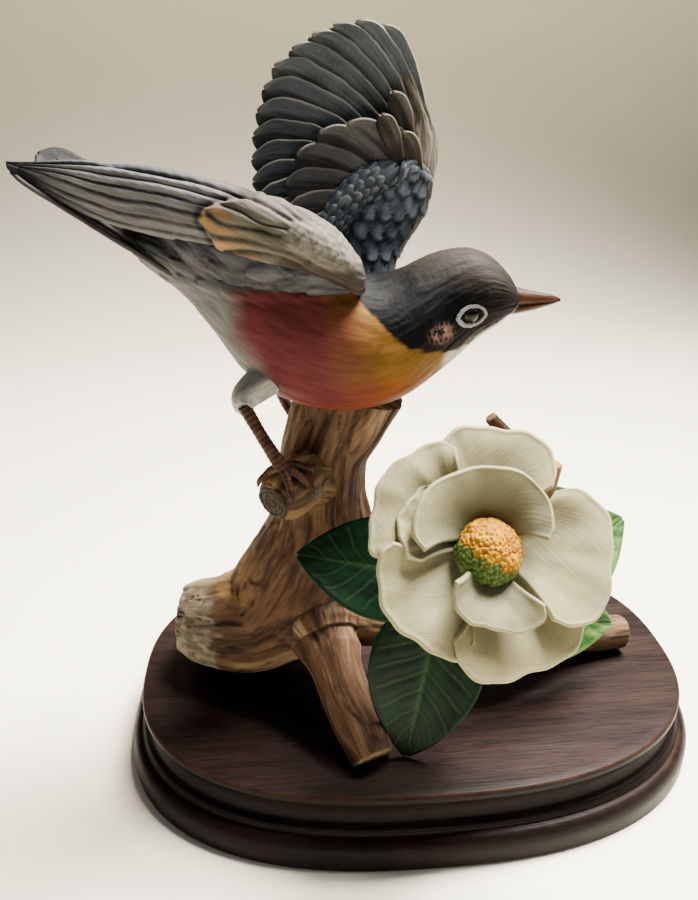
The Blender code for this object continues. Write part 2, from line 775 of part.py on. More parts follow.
def make_leaves(collection, paint):
    for name, root, tip, width, facing, fold, droop in LEAVES:
        grid = leaf_grid(root, tip, width, facing, fold, droop)
        sheet(name, grid, LEAF_THICKNESS, collection, paint["leaf"])
    stem = through([(18, -18, 34), (24, -24, 48), (30, -26, 52)], 4)
    tube("leaf_stem", stem, np.full(4, TWIG_DIAMETER), collection, paint["leaf"])


# Everything together


def make_paints():
    return {
        "bark": make_material("bark_brown", (0.20, 0.12, 0.07), 0.75),
        "bare": make_material("bare_wood", (0.42, 0.38, 0.30), 0.8),
        "knot": make_material("knot_gold", (0.38, 0.24, 0.11), 0.75),
        "breast": make_material("breast_red", (0.50, 0.16, 0.07), 0.6),
        "dark": make_material("slate_feathers", (0.07, 0.07, 0.08), 0.65),
        "grey": make_material("taupe_feathers", (0.20, 0.17, 0.14), 0.65),
        "tan": make_material("tan_coverts", (0.42, 0.27, 0.13), 0.65),
        "pale": make_material("pale_flank", (0.50, 0.46, 0.43), 0.65),
        "beak": make_material("beak_brown", (0.42, 0.19, 0.08), 0.5),
        "eye": make_material("eye_black", (0.02, 0.02, 0.02), 0.25),
        "rim": make_material("eye_white", (0.7, 0.69, 0.66), 0.5),
        "leg": make_material("leg_brown", (0.22, 0.11, 0.06), 0.6),
        "petal": make_material("petal_white", (0.78, 0.75, 0.66), 0.55),
        "boss": make_material("boss_yellow", (0.65, 0.42, 0.10), 0.7),
        "leaf": make_material("leaf_green", (0.04, 0.15, 0.05), 0.5),
    }


def make_porcelain(collection, forms, cutters, paint):
    """All the modelled forms joined into one casting and cut flat where it stands."""
    body = make_stump(forms, paint)
    make_branches(forms, paint)
    make_twigs(forms, paint)
    make_body(forms, paint)
    make_beak(forms, paint)
    make_eyes(forms, paint)
    make_raised_wing(forms, paint)
    make_near_wing(forms, paint)
    make_tail(forms, paint)
    make_flank(forms, paint)
    make_legs(forms, paint)
    make_flower(forms, paint)
    make_leaves(forms, paint)
    forms.objects.unlink(body)
    collection.objects.link(body)
    body.name = PORCELAIN
    body.data.name = PORCELAIN
    for form in forms.objects:
        as_helper(form)
    join = body.modifiers.new("Join the forms", "BOOLEAN")
    join.operation = "UNION"
    join.solver = "EXACT"
    join.operand_type = "COLLECTION"
    join.collection = forms
    join.material_mode = "TRANSFER"
    ground = bpy.data.meshes.new("ground_cutter")
    shape = bmesh.new()
    bmesh.ops.create_cube(shape, size=1.0)
    for point in shape.verts:
        point.co.x *= 2 * BASE_LENGTH
        point.co.y *= 2 * BASE_DEPTH
        point.co.z = (point.co.z - 0.5) * 2 * BASE_HEIGHT + BASE_HEIGHT + RESTING_GAP
    shape.to_mesh(ground)
    shape.free()
    cutter = bpy.data.objects.new("ground_cutter", ground)
    cutters.objects.link(as_helper(cutter))
    cut = body.modifiers.new("Cut flat to stand", "BOOLEAN")
    cut.operation = "DIFFERENCE"
    cut.solver = "EXACT"
    cut.object = cutter
    return body


def main():
    clear_scene()
    figurine = make_collection("robin_figurine")
    forms = make_collection("forms", helper=True)
    cutters = make_collection("cutters", helper=True)
    walnut = make_material("walnut", (0.09, 0.035, 0.02), 0.4)
    make_base(figurine, walnut)
    make_porcelain(figurine, forms, cutters, make_paints())


main()
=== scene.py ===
"""A bisque porcelain robin landing on a stump beside a magnolia, on an oval wooden base.

Free forms are drawn in millimetres, with z measured from the top of the base. +X runs
along the base towards the beak, +Y goes away from the viewer and +Z is up.
"""

import logging
import math
from dataclasses import dataclass
from enum import Enum

import bpy
import numpy as np
from mathutils import Matrix


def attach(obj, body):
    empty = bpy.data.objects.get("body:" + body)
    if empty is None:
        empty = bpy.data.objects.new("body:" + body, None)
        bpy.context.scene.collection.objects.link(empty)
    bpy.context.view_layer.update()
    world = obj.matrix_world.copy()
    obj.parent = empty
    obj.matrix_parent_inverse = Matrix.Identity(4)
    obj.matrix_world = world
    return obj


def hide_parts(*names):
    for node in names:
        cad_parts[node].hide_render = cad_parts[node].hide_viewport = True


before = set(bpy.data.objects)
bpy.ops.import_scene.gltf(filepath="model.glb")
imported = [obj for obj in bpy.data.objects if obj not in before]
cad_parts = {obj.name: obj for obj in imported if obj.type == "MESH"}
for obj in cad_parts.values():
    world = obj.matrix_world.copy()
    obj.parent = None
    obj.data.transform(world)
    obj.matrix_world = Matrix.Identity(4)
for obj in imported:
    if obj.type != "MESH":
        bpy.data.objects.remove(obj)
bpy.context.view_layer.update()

LOG = logging.getLogger("robin")
GROUP = "porcelain_robin_group"
BASE = "wooden_base"
MM = 0.001
BASE_TOP = 26.3
BIRD_Y = -8.0
PRIMES = (73856093, 19349663, 83492791)
SEED_STEP, MIXER = 2654435, 1274126177
Array = np.ndarray
Row = tuple[float, ...]


def srgb(red: float, green: float, blue: float) -> Array:
    """A colour given as 0 to 255, made linear."""
    return (np.array([red, green, blue]) / 255) ** 2.2


def unit(vector: Array) -> Array:
    """The vectors at length one; a vector of no length stays as it is."""
    vector = np.asarray(vector, float)
    return vector / np.maximum(np.linalg.norm(vector, axis=-1, keepdims=True), 1e-9)


def smooth(value: Array, low: float, high: float) -> Array:
    """A soft step from 0 at low to 1 at high."""
    share = np.clip((value - low) / (high - low), 0, 1)
    return share * share * (3 - 2 * share)


def blend(first: Array, second: Array, share: Array) -> Array:
    """Two colours mixed by a share given at each point."""
    return first + (second - first) * np.asarray(share)[..., None]


def bell(value: Array, width: float) -> Array:
    """A bump one high at zero that falls away over width."""
    return np.exp(-((value / width) ** 2))


def eased(count: int) -> Array:
    """Steps from -1 to 1 that crowd at both ends, along a sine."""
    return np.sin(np.linspace(-1, 1, count) * math.pi / 2)


def spline(stations: Array, count: int) -> Array:
    """A smooth path through rows of numbers: a Catmull-Rom curve read at even steps.

    Args:
        stations: Rows that the path passes through.
        count: How many rows to read.

    Returns:
        The rows read, with the first and last stations at the ends.
    """
    rows = np.asarray(stations, float)
    padded = np.vstack([2 * rows[0] - rows[1], rows, 2 * rows[-1] - rows[-2]])
    at = np.linspace(0, len(rows) - 1, count)
    first = np.minimum(at.astype(int), len(rows) - 2)
    t = (at - first)[:, None]
    before, start, end, after = (padded[first + i] for i in range(4))
    return 0.5 * (
        2 * start
        + (end - before) * t
        + (2 * before - 5 * start + 4 * end - after) * t**2
        + (3 * start - before - 3 * end + after) * t**3
    )


def noise(points: Array, seed: int, octaves: int = 3) -> Array:
    """Smooth noise from -1 to 1 with one cell a unit.

    Each lattice corner gets a number hashed from its place, the eight corners round a
    point are mixed by soft steps, and each further octave is half as large and as high.

    Args:
        points: Places, three numbers each, already divided by the cell's size.
        seed: Which noise of its kind.
        octaves: How many sizes of cell are added up.

    Returns:
        One number for each point.
    """
    total = np.zeros(points.shape[:-1])
    for octave in range(octaves):
        place = points * 2**octave + 17.3 * octave
        low = np.floor(place).astype(np.int64)
        t = place - low
        t = t * t * (3 - 2 * t)
        for corner in range(8):
            offset = np.array([(corner >> i) & 1 for i in range(3)])
            cell = low + offset
            code = cell @ np.array(PRIMES) + (seed + octave) * SEED_STEP
            code = ((code ^ (code >> 13)) * MIXER) & 0x7FFFFFFF
            code = code ^ (code >> 15)
            weight = np.prod(np.where(offset == 1, t, 1 - t), axis=-1)
            total += weight * ((code & 0xFFFF) / 32767.5 - 1) / 2**octave
    return total


def sheet_noise(u: Array, v: Array, layer: float, seed: int, octaves: int = 2) -> Array:
    """Smooth noise over two parameters, cut from the noise in space at a height."""
    return noise(np.stack(np.broadcast_arrays(u, v, float(layer)), axis=-1), seed, octaves)


def normals(grid: Array, closed: bool) -> Array:
    """The direction square to a surface: the cross product of its two slopes.

    Args:
        grid: Rows of points.
        closed: Whether each row runs round and meets itself.

    Returns:
        A direction of length one for each point.
    """
    along = np.gradient(grid, axis=0)
    if closed:
        across = np.roll(grid, -1, axis=1) - np.roll(grid, 1, axis=1)
    else:
        across = np.gradient(grid, axis=1)
    return unit(np.cross(across, along))


def rings_along(path: Array, halves: Array, sides: int, across: Row = (0, 1, 0)) -> Array:
    """Oval rings square to a path.

    A ring's point at angle a is the path's point plus cos a times the half-size along
    the across direction, plus sin a times the half-size along the third direction.

    Args:
        path: The rings' middles.
        halves: Two half-sizes for each ring.
        sides: Points round a ring.
        across: The direction that angle 0 points to, as nearly as the path lets it.

    Returns:
        Rows of ring points.
    """
    along = unit(np.gradient(path, axis=0))
    guide = np.asarray(across, float)
    side = unit(guide - along * (along @ guide)[:, None])
    third = np.cross(along, side)
    angle = np.linspace(0, 2 * math.pi, sides, endpoint=False)
    u = halves[:, 0, None] * np.cos(angle)
    v = halves[:, 1, None] * np.sin(angle)
    return path[:, None] + u[..., None] * side[:, None] + v[..., None] * third[:, None]


def pillow_rings(stations: tuple[Row, ...], rows: int, sides: int) -> Array:
    """Ovals between a low line and a high line.

    A ring's point at angle a is the middle of the two lines plus sine a times half the
    way between them, and cosine a times the half thickness across the bird.

    Args:
        stations: Low x and z, high x and z, middle y and half thickness at each station.
        rows: How many rings.
        sides: Points round a ring.

    Returns:
        Rows of ring points.
    """
    path = spline(np.array(stations), rows)
    middle, half = (path[:, :2] + path[:, 2:4]) / 2, (path[:, 2:4] - path[:, :2]) / 2
    angle = np.linspace(0, 2 * math.pi, sides, endpoint=False)
    x = middle[:, :1] + half[:, :1] * np.sin(angle)
    z = middle[:, 1:] + half[:, 1:] * np.sin(angle)
    return np.stack([x, path[:, 4:5] + path[:, 5:6] * np.cos(angle), z], axis=-1)


def outward(rings: Array) -> Array:
    """The directions square to closed rings, turned away from the rings' middles.

    Args:
        rings: Rows of ring points.

    Returns:
        A direction of length one for each point.
    """
    out = normals(rings, True)
    away = np.einsum("ijk,ijk->", out, rings - rings.mean(axis=1, keepdims=True))
    return out if away > 0 else -out


def chain_gap(points: Array, chain: tuple[Row, ...]) -> tuple[Array, Array]:
    """How points lie to a smooth chain drawn in the X-Z plane.

    Args:
        points: Places, of which x and z are read.
        chain: x and z of the places that the chain passes through.

    Returns:
        The distance across the chain, positive on the left as it is followed, and the
        distance from it, which counts the way past its ends too.
    """
    path = spline(np.array(chain), 70)
    along = unit(np.gradient(path, axis=0))
    place = points[..., [0, 2]]
    nearest = np.linalg.norm(place[..., None, :] - path, axis=-1).argmin(axis=-1)
    offset, along = place - path[nearest], along[nearest]
    across = along[..., 0] * offset[..., 1] - along[..., 1] * offset[..., 0]
    step = np.linalg.norm(np.diff(path, axis=0), axis=1).mean()
    beyond = np.clip(np.abs((offset * along).sum(axis=-1)) - step, 0, None)
    return across, np.hypot(across, beyond)


def straightened(rings: Array) -> Array:
    """Coordinates on a limb as if it were straight: length along it, and place across it.

    Args:
        rings: Rows of ring points.

    Returns:
        Three numbers for each point.
    """
    middle = rings.mean(axis=1)
    step = np.linalg.norm(np.diff(middle, axis=0), axis=1)
    length = np.concatenate([[0], np.cumsum(step)])
    radius = np.linalg.norm(rings - middle[:, None], axis=-1).mean()
    angle = np.linspace(0, 2 * math.pi, rings.shape[1], endpoint=False)
    shape = rings.shape[:2]
    return np.stack(
        [
            np.broadcast_to(length[:, None], shape),
            np.broadcast_to(radius * np.cos(angle), shape),
            np.broadcast_to(radius * np.sin(angle), shape),
        ],
        axis=-1,
    )


def grid_quads(rows: int, columns: int, closed: bool) -> Array:
    """The four corners of each face between a grid's rows and columns.

    Args:
        rows: Rows of points.
        columns: Points in a row.
        closed: Whether a row meets itself.

    Returns:
        Four point numbers for each face.
    """
    i = np.arange(rows - 1)[:, None] * columns
    j = np.arange(columns if closed else columns - 1)[None, :]
    k = (j + 1) % columns
    return np.stack([i + j, i + k, i + columns + k, i + columns + j], axis=-1).reshape(-1, 4)


@dataclass
class Skin:
    """One closed surface: its points, faces, and what each point is painted with.

    Attributes:
        points: Places in drawn millimetres.
        quads: Four point numbers a face; points that coincide are welded later.
        paint: A linear colour a point.
        relief: 0 in the deepest groove to 1 on a ridge.
        flow: Where the point lies along and across its form, for streaks that follow it.
    """

    points: Array
    quads: Array
    paint: Array
    relief: Array
    flow: Array


def with_ends(values: Array) -> Array:
    """Adds a row before and after, each full of the mean of the row beside it.

    Args:
        values: Rows of values.

    Returns:
        The same rows and two more.
    """
    first = np.broadcast_to(values[:1].mean(axis=1, keepdims=True), values[:1].shape)
    last = np.broadcast_to(values[-1:].mean(axis=1, keepdims=True), values[-1:].shape)
    return np.concatenate([first, values, last])


def loft(rings: Array, paint: Array, relief: Array, flow: Array) -> Skin:
    """A skin over closed rings, with a fan over each end.

    Args:
        rings: Rows of ring points.
        paint: A colour for each ring point.
        relief: Relief for each ring point.
        flow: Flow for each ring point.

    Returns:
        The closed skin.
    """
    return Skin(
        with_ends(rings).reshape(-1, 3),
        grid_quads(rings.shape[0] + 2, rings.shape[1], True),
        with_ends(np.broadcast_to(paint, rings.shape)).reshape(-1, 3),
        with_ends(relief).reshape(-1),
        with_ends(flow).reshape(-1, 3),
    )


def travelled(grid: Array, axis: int) -> Array:
    """The way from a grid's first row or column to each point, along the surface."""
    step = np.linalg.norm(np.diff(grid, axis=axis), axis=-1)
    return np.pad(np.cumsum(step, axis=axis), ((1 - axis, 0), (axis, 0)))


def border_distance(grid: Array) -> Array:
    """How far each point of an open surface is from its nearest border, along the grid."""
    root, left = travelled(grid, 0), travelled(grid, 1)
    return np.minimum(np.minimum(left, left[:, -1:] - left), np.minimum(root, root[-1:] - root))


def shell(grid: Array, thickness: float, paint: Array, height: Array, relief: Array,
          underside: Array | None = None) -> Skin:
    """A thin closed body whose two faces meet in a round rim.

    Each face stands half the thickness from the drawn surface, and near the border it
    closes in along a quarter circle. The height of the relief is added to the upper face.

    Args:
        grid: Rows of points on the drawn surface.
        thickness: Thickness away from the rim.
        paint: A colour for each point of the upper face.
        height: How far the relief rises at each point.
        relief: 0 in a groove to 1 on a ridge.
        underside: A colour for each point of the lower face, if it differs.

    Returns:
        The closed skin.
    """
    out = -normals(grid, False)
    edge = np.clip(border_distance(grid) / (0.6 * thickness), 0, 1)
    half = (thickness / 2 * np.sqrt(1 - (1 - edge) ** 2))[..., None]
    upper = grid + out * (half + (height * edge)[..., None])
    lower = grid - out * half
    rows, columns = grid.shape[:2]
    quads = grid_quads(rows, columns, False)
    below = paint if underside is None else underside
    down, across = travelled(grid, 0), travelled(grid, 1)
    flow = np.stack([down, across, 0 * down], axis=-1).reshape(-1, 3)
    return Skin(
        np.concatenate([upper.reshape(-1, 3), lower.reshape(-1, 3)]),
        np.concatenate([quads, quads[:, ::-1] + rows * columns]),
        np.concatenate([np.broadcast_to(paint, grid.shape).reshape(-1, 3),
                        np.broadcast_to(below, grid.shape).reshape(-1, 3)]),
        np.concatenate([relief.reshape(-1), 0 * relief.reshape(-1) + 0.7]),
        np.concatenate([flow, flow]),
    )


def welded(skin: Skin) -> tuple[Array, Array, Array, Array]:
    """Joins points that coincide, drops faces that shrink away and turns the skin outwards.

    Args:
        skin: The skin to weld.

    Returns:
        The points kept, the faces with four corners, those with three, and which of the
        skin's points each kept point was.
    """
    _, kept, number = np.unique(
        np.round(skin.points, 4), axis=0, return_index=True, return_inverse=True
    )
    quads = number.reshape(-1)[skin.quads]
    points = skin.points[kept]
    differs = quads != np.roll(quads, -1, axis=1)
    crossed = (quads[:, 0] == quads[:, 2]) | (quads[:, 1] == quads[:, 3])
    whole = quads[differs.all(axis=1) & ~crossed]
    pinched = (differs.sum(axis=1) == 3) & ~crossed
    triangles = quads[pinched][differs[pinched]].reshape(-1, 3)
    fans = np.concatenate([whole[:, [0, 1, 2]], whole[:, [0, 2, 3]], triangles])
    a, b, c = (points[fans[:, i]] - points.mean(axis=0) for i in range(3))
    if np.einsum("ij,ij->i", a, np.cross(b, c)).sum() < 0:
        whole, triangles = whole[:, ::-1], triangles[:, ::-1]
    return points, whole, triangles, kept


def show(name: str, skins: list[Skin], finish: bpy.types.Material,
         node: str = GROUP) -> None:
    """Makes one visible piece at the origin from its skins and hides the solid that it stands for.

    Args:
        name: The piece's name.
        skins: Its closed surfaces.
        finish: The material it wears.
        node: The solid that it stands for.
    """
    places, faces, paints, reliefs, flows, count = [], [], [], [], [], 0
    for skin in skins:
        points, whole, triangles, kept = welded(skin)
        places.append(points)
        faces += (whole + count).tolist() + (triangles + count).tolist()
        paints.append(skin.paint[kept])
        reliefs.append(skin.relief[kept])
        flows.append(skin.flow[kept])
        count += len(points)
    points = np.concatenate(places)
    mesh = bpy.data.meshes.new(name)
    mesh.from_pydata(((points + [0, 0, BASE_TOP]) * MM).tolist(), [], faces)
    mesh.polygons.foreach_set("use_smooth", [True] * len(mesh.polygons))
    colour = np.concatenate([np.concatenate(paints), np.ones((count, 1))], axis=1)
    mesh.attributes.new("paint", "FLOAT_COLOR", "POINT").data.foreach_set("color", colour.ravel())
    relief = mesh.attributes.new("relief", "FLOAT", "POINT")
    relief.data.foreach_set("value", np.concatenate(reliefs))
    mesh.attributes.new("flow", "FLOAT_VECTOR", "POINT").data.foreach_set(
        "vector", np.concatenate(flows).ravel()
    )
    mesh.materials.append(finish)
    piece = bpy.data.objects.new(name, mesh)
    bpy.context.scene.collection.objects.link(piece)
    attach(piece, "root")
    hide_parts(node)
    LOG.info("%s: %d faces", name, len(mesh.polygons))


class Shader:
    """A material's node tree, built up towards its surface."""

    def __init__(self, name: str, roughness: float) -> None:
        """Starts a material with its surface shader.

        Args:
            name: The material's name.
            roughness: Roughness of the surface.
        """
        self.material = bpy.data.materials.new(name)
        self.material.use_nodes = True
        self.tree = self.material.node_tree
        self.surface = self.tree.nodes["Principled BSDF"]
        self.surface.inputs["Roughness"].default_value = roughness

    def node(self, kind: str, **settings: object) -> bpy.types.Node:
        """Adds a node of a kind, with its settings.

        Args:
            kind: The node's type.
            settings: Its properties.

        Returns:
            The new node.
        """
        made = self.tree.nodes.new(kind)
        for key, value in settings.items():
            setattr(made, key, value)
        return made

    def put(self, socket: bpy.types.NodeSocket, value: object) -> None:
        """Links a socket to another, or gives it a number or a colour.

        Args:
            socket: The socket.
            value: What it gets.
        """
        if isinstance(value, bpy.types.NodeSocket):
            self.tree.links.new(value, socket)
        elif isinstance(value, (float, int)):
            socket.default_value = value
        else:
            numbers = [float(number) for number in value]
            socket.default_value = numbers + [1.0] * (len(socket.default_value) - len(numbers))

    def attribute(self, name: str, output: str) -> bpy.types.NodeSocket:
        """What is painted on the mesh under a name."""
        return self.node("ShaderNodeAttribute", attribute_name=name).outputs[output]

    def place(self) -> bpy.types.NodeSocket:
        """The object's own coordinates, in metres."""
        return self.node("ShaderNodeTexCoord").outputs["Object"]

    def stretched(self, vector: bpy.types.NodeSocket, scale: Row) -> bpy.types.NodeSocket:
        """Coordinates multiplied along each axis.

        Args:
            vector: The coordinates.
            scale: A factor for each axis.

        Returns:
            The stretched coordinates.
        """
        made = self.node("ShaderNodeMapping")
        self.put(made.inputs["Vector"], vector)
        self.put(made.inputs["Scale"], scale)
        return made.outputs["Vector"]

    def noise(self, vector: bpy.types.NodeSocket, scale: float, detail: float = 3.0,
              distortion: float = 0.0) -> bpy.types.NodeSocket:
        """Cloudy noise around one half.

        Args:
            vector: The coordinates.
            scale: Cells a unit.
            detail: How many finer layers it has.
            distortion: How far it is warped.

        Returns:
            The noise.
        """
        made = self.node("ShaderNodeTexNoise")
        self.put(made.inputs["Vector"], vector)
        self.put(made.inputs["Scale"], scale)
        self.put(made.inputs["Detail"], detail)
        self.put(made.inputs["Distortion"], distortion)
        return made.outputs["Fac"]

    def spread(self, value: bpy.types.NodeSocket, source: Row, target: Row) -> bpy.types.NodeSocket:
        """A number moved from one range to another, and held inside it.

        Args:
            value: The number.
            source: The range that it comes from.
            target: The range that it goes to.

        Returns:
            The new number.
        """
        made = self.node("ShaderNodeMapRange")
        for name, number in zip(("From Min", "From Max", "To Min", "To Max"), (*source, *target)):
            self.put(made.inputs[name], number)
        self.put(made.inputs["Value"], value)
        return made.outputs["Result"]

    def product(self, first: object, second: object) -> bpy.types.NodeSocket:
        """Two numbers multiplied.

        Args:
            first: A number.
            second: Another.

        Returns:
            The product.
        """
        made = self.node("ShaderNodeMath", operation="MULTIPLY")
        self.put(made.inputs[0], first)
        self.put(made.inputs[1], second)
        return made.outputs["Value"]

    def mixed(self, share: object, first: object, second: object,
              how: str = "MIX") -> bpy.types.NodeSocket:
        """Two colours mixed by a share.

        Args:
            share: How much of the second shows.
            first: A colour.
            second: Another.
            how: The way that they mix.

        Returns:
            The mixed colour.
        """
        made = self.node("ShaderNodeMix", data_type="RGBA", blend_type=how)
        self.put(made.inputs[0], share)
        self.put(made.inputs[6], first)
        self.put(made.inputs[7], second)
        return made.outputs[2]

    def brightened(self, colour: object, factor: bpy.types.NodeSocket) -> bpy.types.NodeSocket:
        """A colour multiplied by a number.

        Args:
            colour: The colour.
            factor: The number.

        Returns:
            The new colour.
        """
        made = self.node("ShaderNodeVectorMath", operation="SCALE")
        self.put(made.inputs[0], colour)
        self.put(made.inputs["Scale"], factor)
        return made.outputs["Vector"]

    def bumped(self, height: bpy.types.NodeSocket, distance: float,
               before: bpy.types.NodeSocket | None = None) -> bpy.types.NodeSocket:
        """The surface's direction, tilted by a height that rises by distance metres.

        Args:
            height: The height, from 0 to 1.
            distance: What 1 stands for.
            before: A direction that is already tilted.

        Returns:
            The direction.
        """
        made = self.node("ShaderNodeBump")
        self.put(made.inputs["Distance"], distance)
        self.put(made.inputs["Height"], height)
        if before is not None:
            self.put(made.inputs["Normal"], before)
        return made.outputs["Normal"]

    def finished(self, colour: object, normal: bpy.types.NodeSocket,
                 roughness: bpy.types.NodeSocket | None = None) -> bpy.types.Material:
        """Sets the surface's colour, direction and roughness and gives the material.

        Args:
            colour: The colour.
            normal: The direction.
            roughness: The roughness, where it varies.

        Returns:
            The material.
        """
        self.put(self.surface.inputs["Base Color"], colour)
        self.put(self.surface.inputs["Normal"], normal)
        if roughness is not None:
            self.put(self.surface.inputs["Roughness"], roughness)
        return self.material


@dataclass(frozen=True)
class PaintedBisque:
    """Unglazed porcelain, painted by hand: a thin dark wash lies in the grooves.

    Attributes:
        name: The material's name.
        wash: The wash's colour.
        wash_share: How much of the wash lies in the deepest grooves.
        dry_brush: The colour brushed over the ridges.
        brush_share: How much of it lies on the highest ridges.
        streak: How strongly streaks along the flow vary the colour.
        streak_scale: Streaks a millimetre along the flow and across it.
        roughness: Roughness of the surface.
        grain: Height of the body's fine grain, in metres.
        streak_height: Height of the streaks, in metres.
        gloss: How strongly the surface mirrors, as a share of what glass does twice over.
    """

    name: str
    wash: Row = (0.012, 0.009, 0.008)
    wash_share: float = 0.6
    dry_brush: Row = (0.30, 0.24, 0.19)
    brush_share: float = 0.0
    streak: float = 0.18
    streak_scale: Row = (0.10, 1.2)
    roughness: float = 0.62
    grain: float = 0.00005
    streak_height: float = 0.00012
    gloss: float = 0.08

    def material(self) -> bpy.types.Material:
        """Builds the material.

        Returns:
            A material that reads the mesh's paint, relief and flow.
        """
        shader = Shader(self.name, self.roughness)
        paint = shader.attribute("paint", "Color")
        relief = shader.attribute("relief", "Fac")
        flow = shader.attribute("flow", "Vector")
        along, across = self.streak_scale
        streaks = shader.noise(shader.stretched(flow, (along, across, across)), 1.0, 4.0, 0.3)
        clouds = shader.noise(shader.place(), 90.0, 4.0)
        specks = shader.noise(shader.place(), 1500.0, 2.0)
        tone = shader.spread(streaks, (0.3, 0.7), (1 - self.streak, 1 + self.streak))
        tone = shader.product(tone, shader.spread(clouds, (0.3, 0.7), (0.88, 1.12)))
        tone = shader.product(tone, shader.spread(specks, (0.35, 0.65), (0.95, 1.05)))
        colour = shader.brightened(paint, tone)
        low = shader.spread(relief, (0.0, 0.55), (self.wash_share, 0.0))
        low = shader.product(low, shader.spread(clouds, (0.3, 0.6), (1.0, 0.75)))
        colour = shader.mixed(low, colour, self.wash)
        if self.brush_share:
            high = shader.spread(relief, (0.6, 1.0), (0.0, self.brush_share))
            high = shader.product(high, shader.spread(streaks, (0.4, 0.6), (0.3, 1.0)))
            colour = shader.mixed(high, colour, self.dry_brush)
        rough = shader.spread(clouds, (0.3, 0.7), (self.roughness - 0.05, self.roughness + 0.06))
        normal = shader.bumped(specks, self.grain)
        normal = shader.bumped(streaks, self.streak_height, normal)
        shader.surface.inputs["Specular IOR Level"].default_value = self.gloss
        return shader.finished(colour, normal, rough)


@dataclass(frozen=True)
class StainedWalnut:
    """Walnut under a dark stain and a satin varnish, worn lighter on its edges."""

    name: str = "stained_walnut"
    dark: Row = (0.0060, 0.0039, 0.0035)
    light: Row = (0.0125, 0.0070, 0.0058)
    worn: Row = (0.034, 0.014, 0.009)
    roughness: float = 0.42

    def material(self) -> bpy.types.Material:
        """Builds the material: grain and pores run along X, wear follows the relief.

        Returns:
            The material.
        """
        shader = Shader(self.name, self.roughness)
        place = shader.place()
        flow = shader.noise(shader.stretched(place, (14.0, 110.0, 110.0)), 1.0, 6.0, 0.8)
        fine = shader.noise(shader.stretched(place, (60.0, 1300.0, 1300.0)), 1.0, 3.0, 0.2)
        pores = shader.noise(shader.stretched(place, (140.0, 2100.0, 2100.0)), 1.0, 1.0)
        colour = shader.mixed(shader.spread(flow, (0.32, 0.68), (0.0, 1.0)), self.dark, self.light)
        # The mesh's paint multiplies the wood; on the base it carries painted light, the top lighter
        # than the sides.
        paint = shader.attribute("paint", "Color")
        colour = shader.mixed(1.0, colour, paint, "MULTIPLY")
        colour = shader.brightened(colour, shader.spread(fine, (0.35, 0.65), (0.72, 1.3)))
        pore = shader.spread(pores, (0.60, 0.68), (0.0, 0.75))
        colour = shader.mixed(pore, colour, (0.003, 0.002, 0.002))
        patches = shader.spread(shader.noise(place, 130.0, 5.0), (0.38, 0.62), (0.25, 1.0))
        wear = shader.product(shader.attribute("relief", "Fac"), patches)
        colour = shader.mixed(wear, colour, self.worn)
        rough = shader.spread(flow, (0.3, 0.7), (self.roughness - 0.05, self.roughness + 0.07))
        normal = shader.bumped(pores, 0.00006)
        normal = shader.bumped(flow, 0.00015, normal)
        shader.surface.inputs["Specular IOR Level"].default_value = 0.05
        return shader.finished(colour, normal, rough)


@dataclass(frozen=True)
class Enamel:
    """Glossy paint, as on an eye."""

    name: str
    roughness: float = 0.2

    def material(self) -> bpy.types.Material:
        """Builds the material from the mesh's own paint, a little uneven.

        Returns:
            The material.
        """
        shader = Shader(self.name, self.roughness)
        shader.surface.inputs["Specular IOR Level"].default_value = 0.15
        clouds = shader.noise(shader.place(), 900.0, 3.0)
        tone = shader.spread(clouds, (0.3, 0.7), (0.8, 1.2))
        colour = shader.brightened(shader.attribute("paint", "Color"), tone)
        return shader.finished(colour, shader.bumped(clouds, 0.00001))


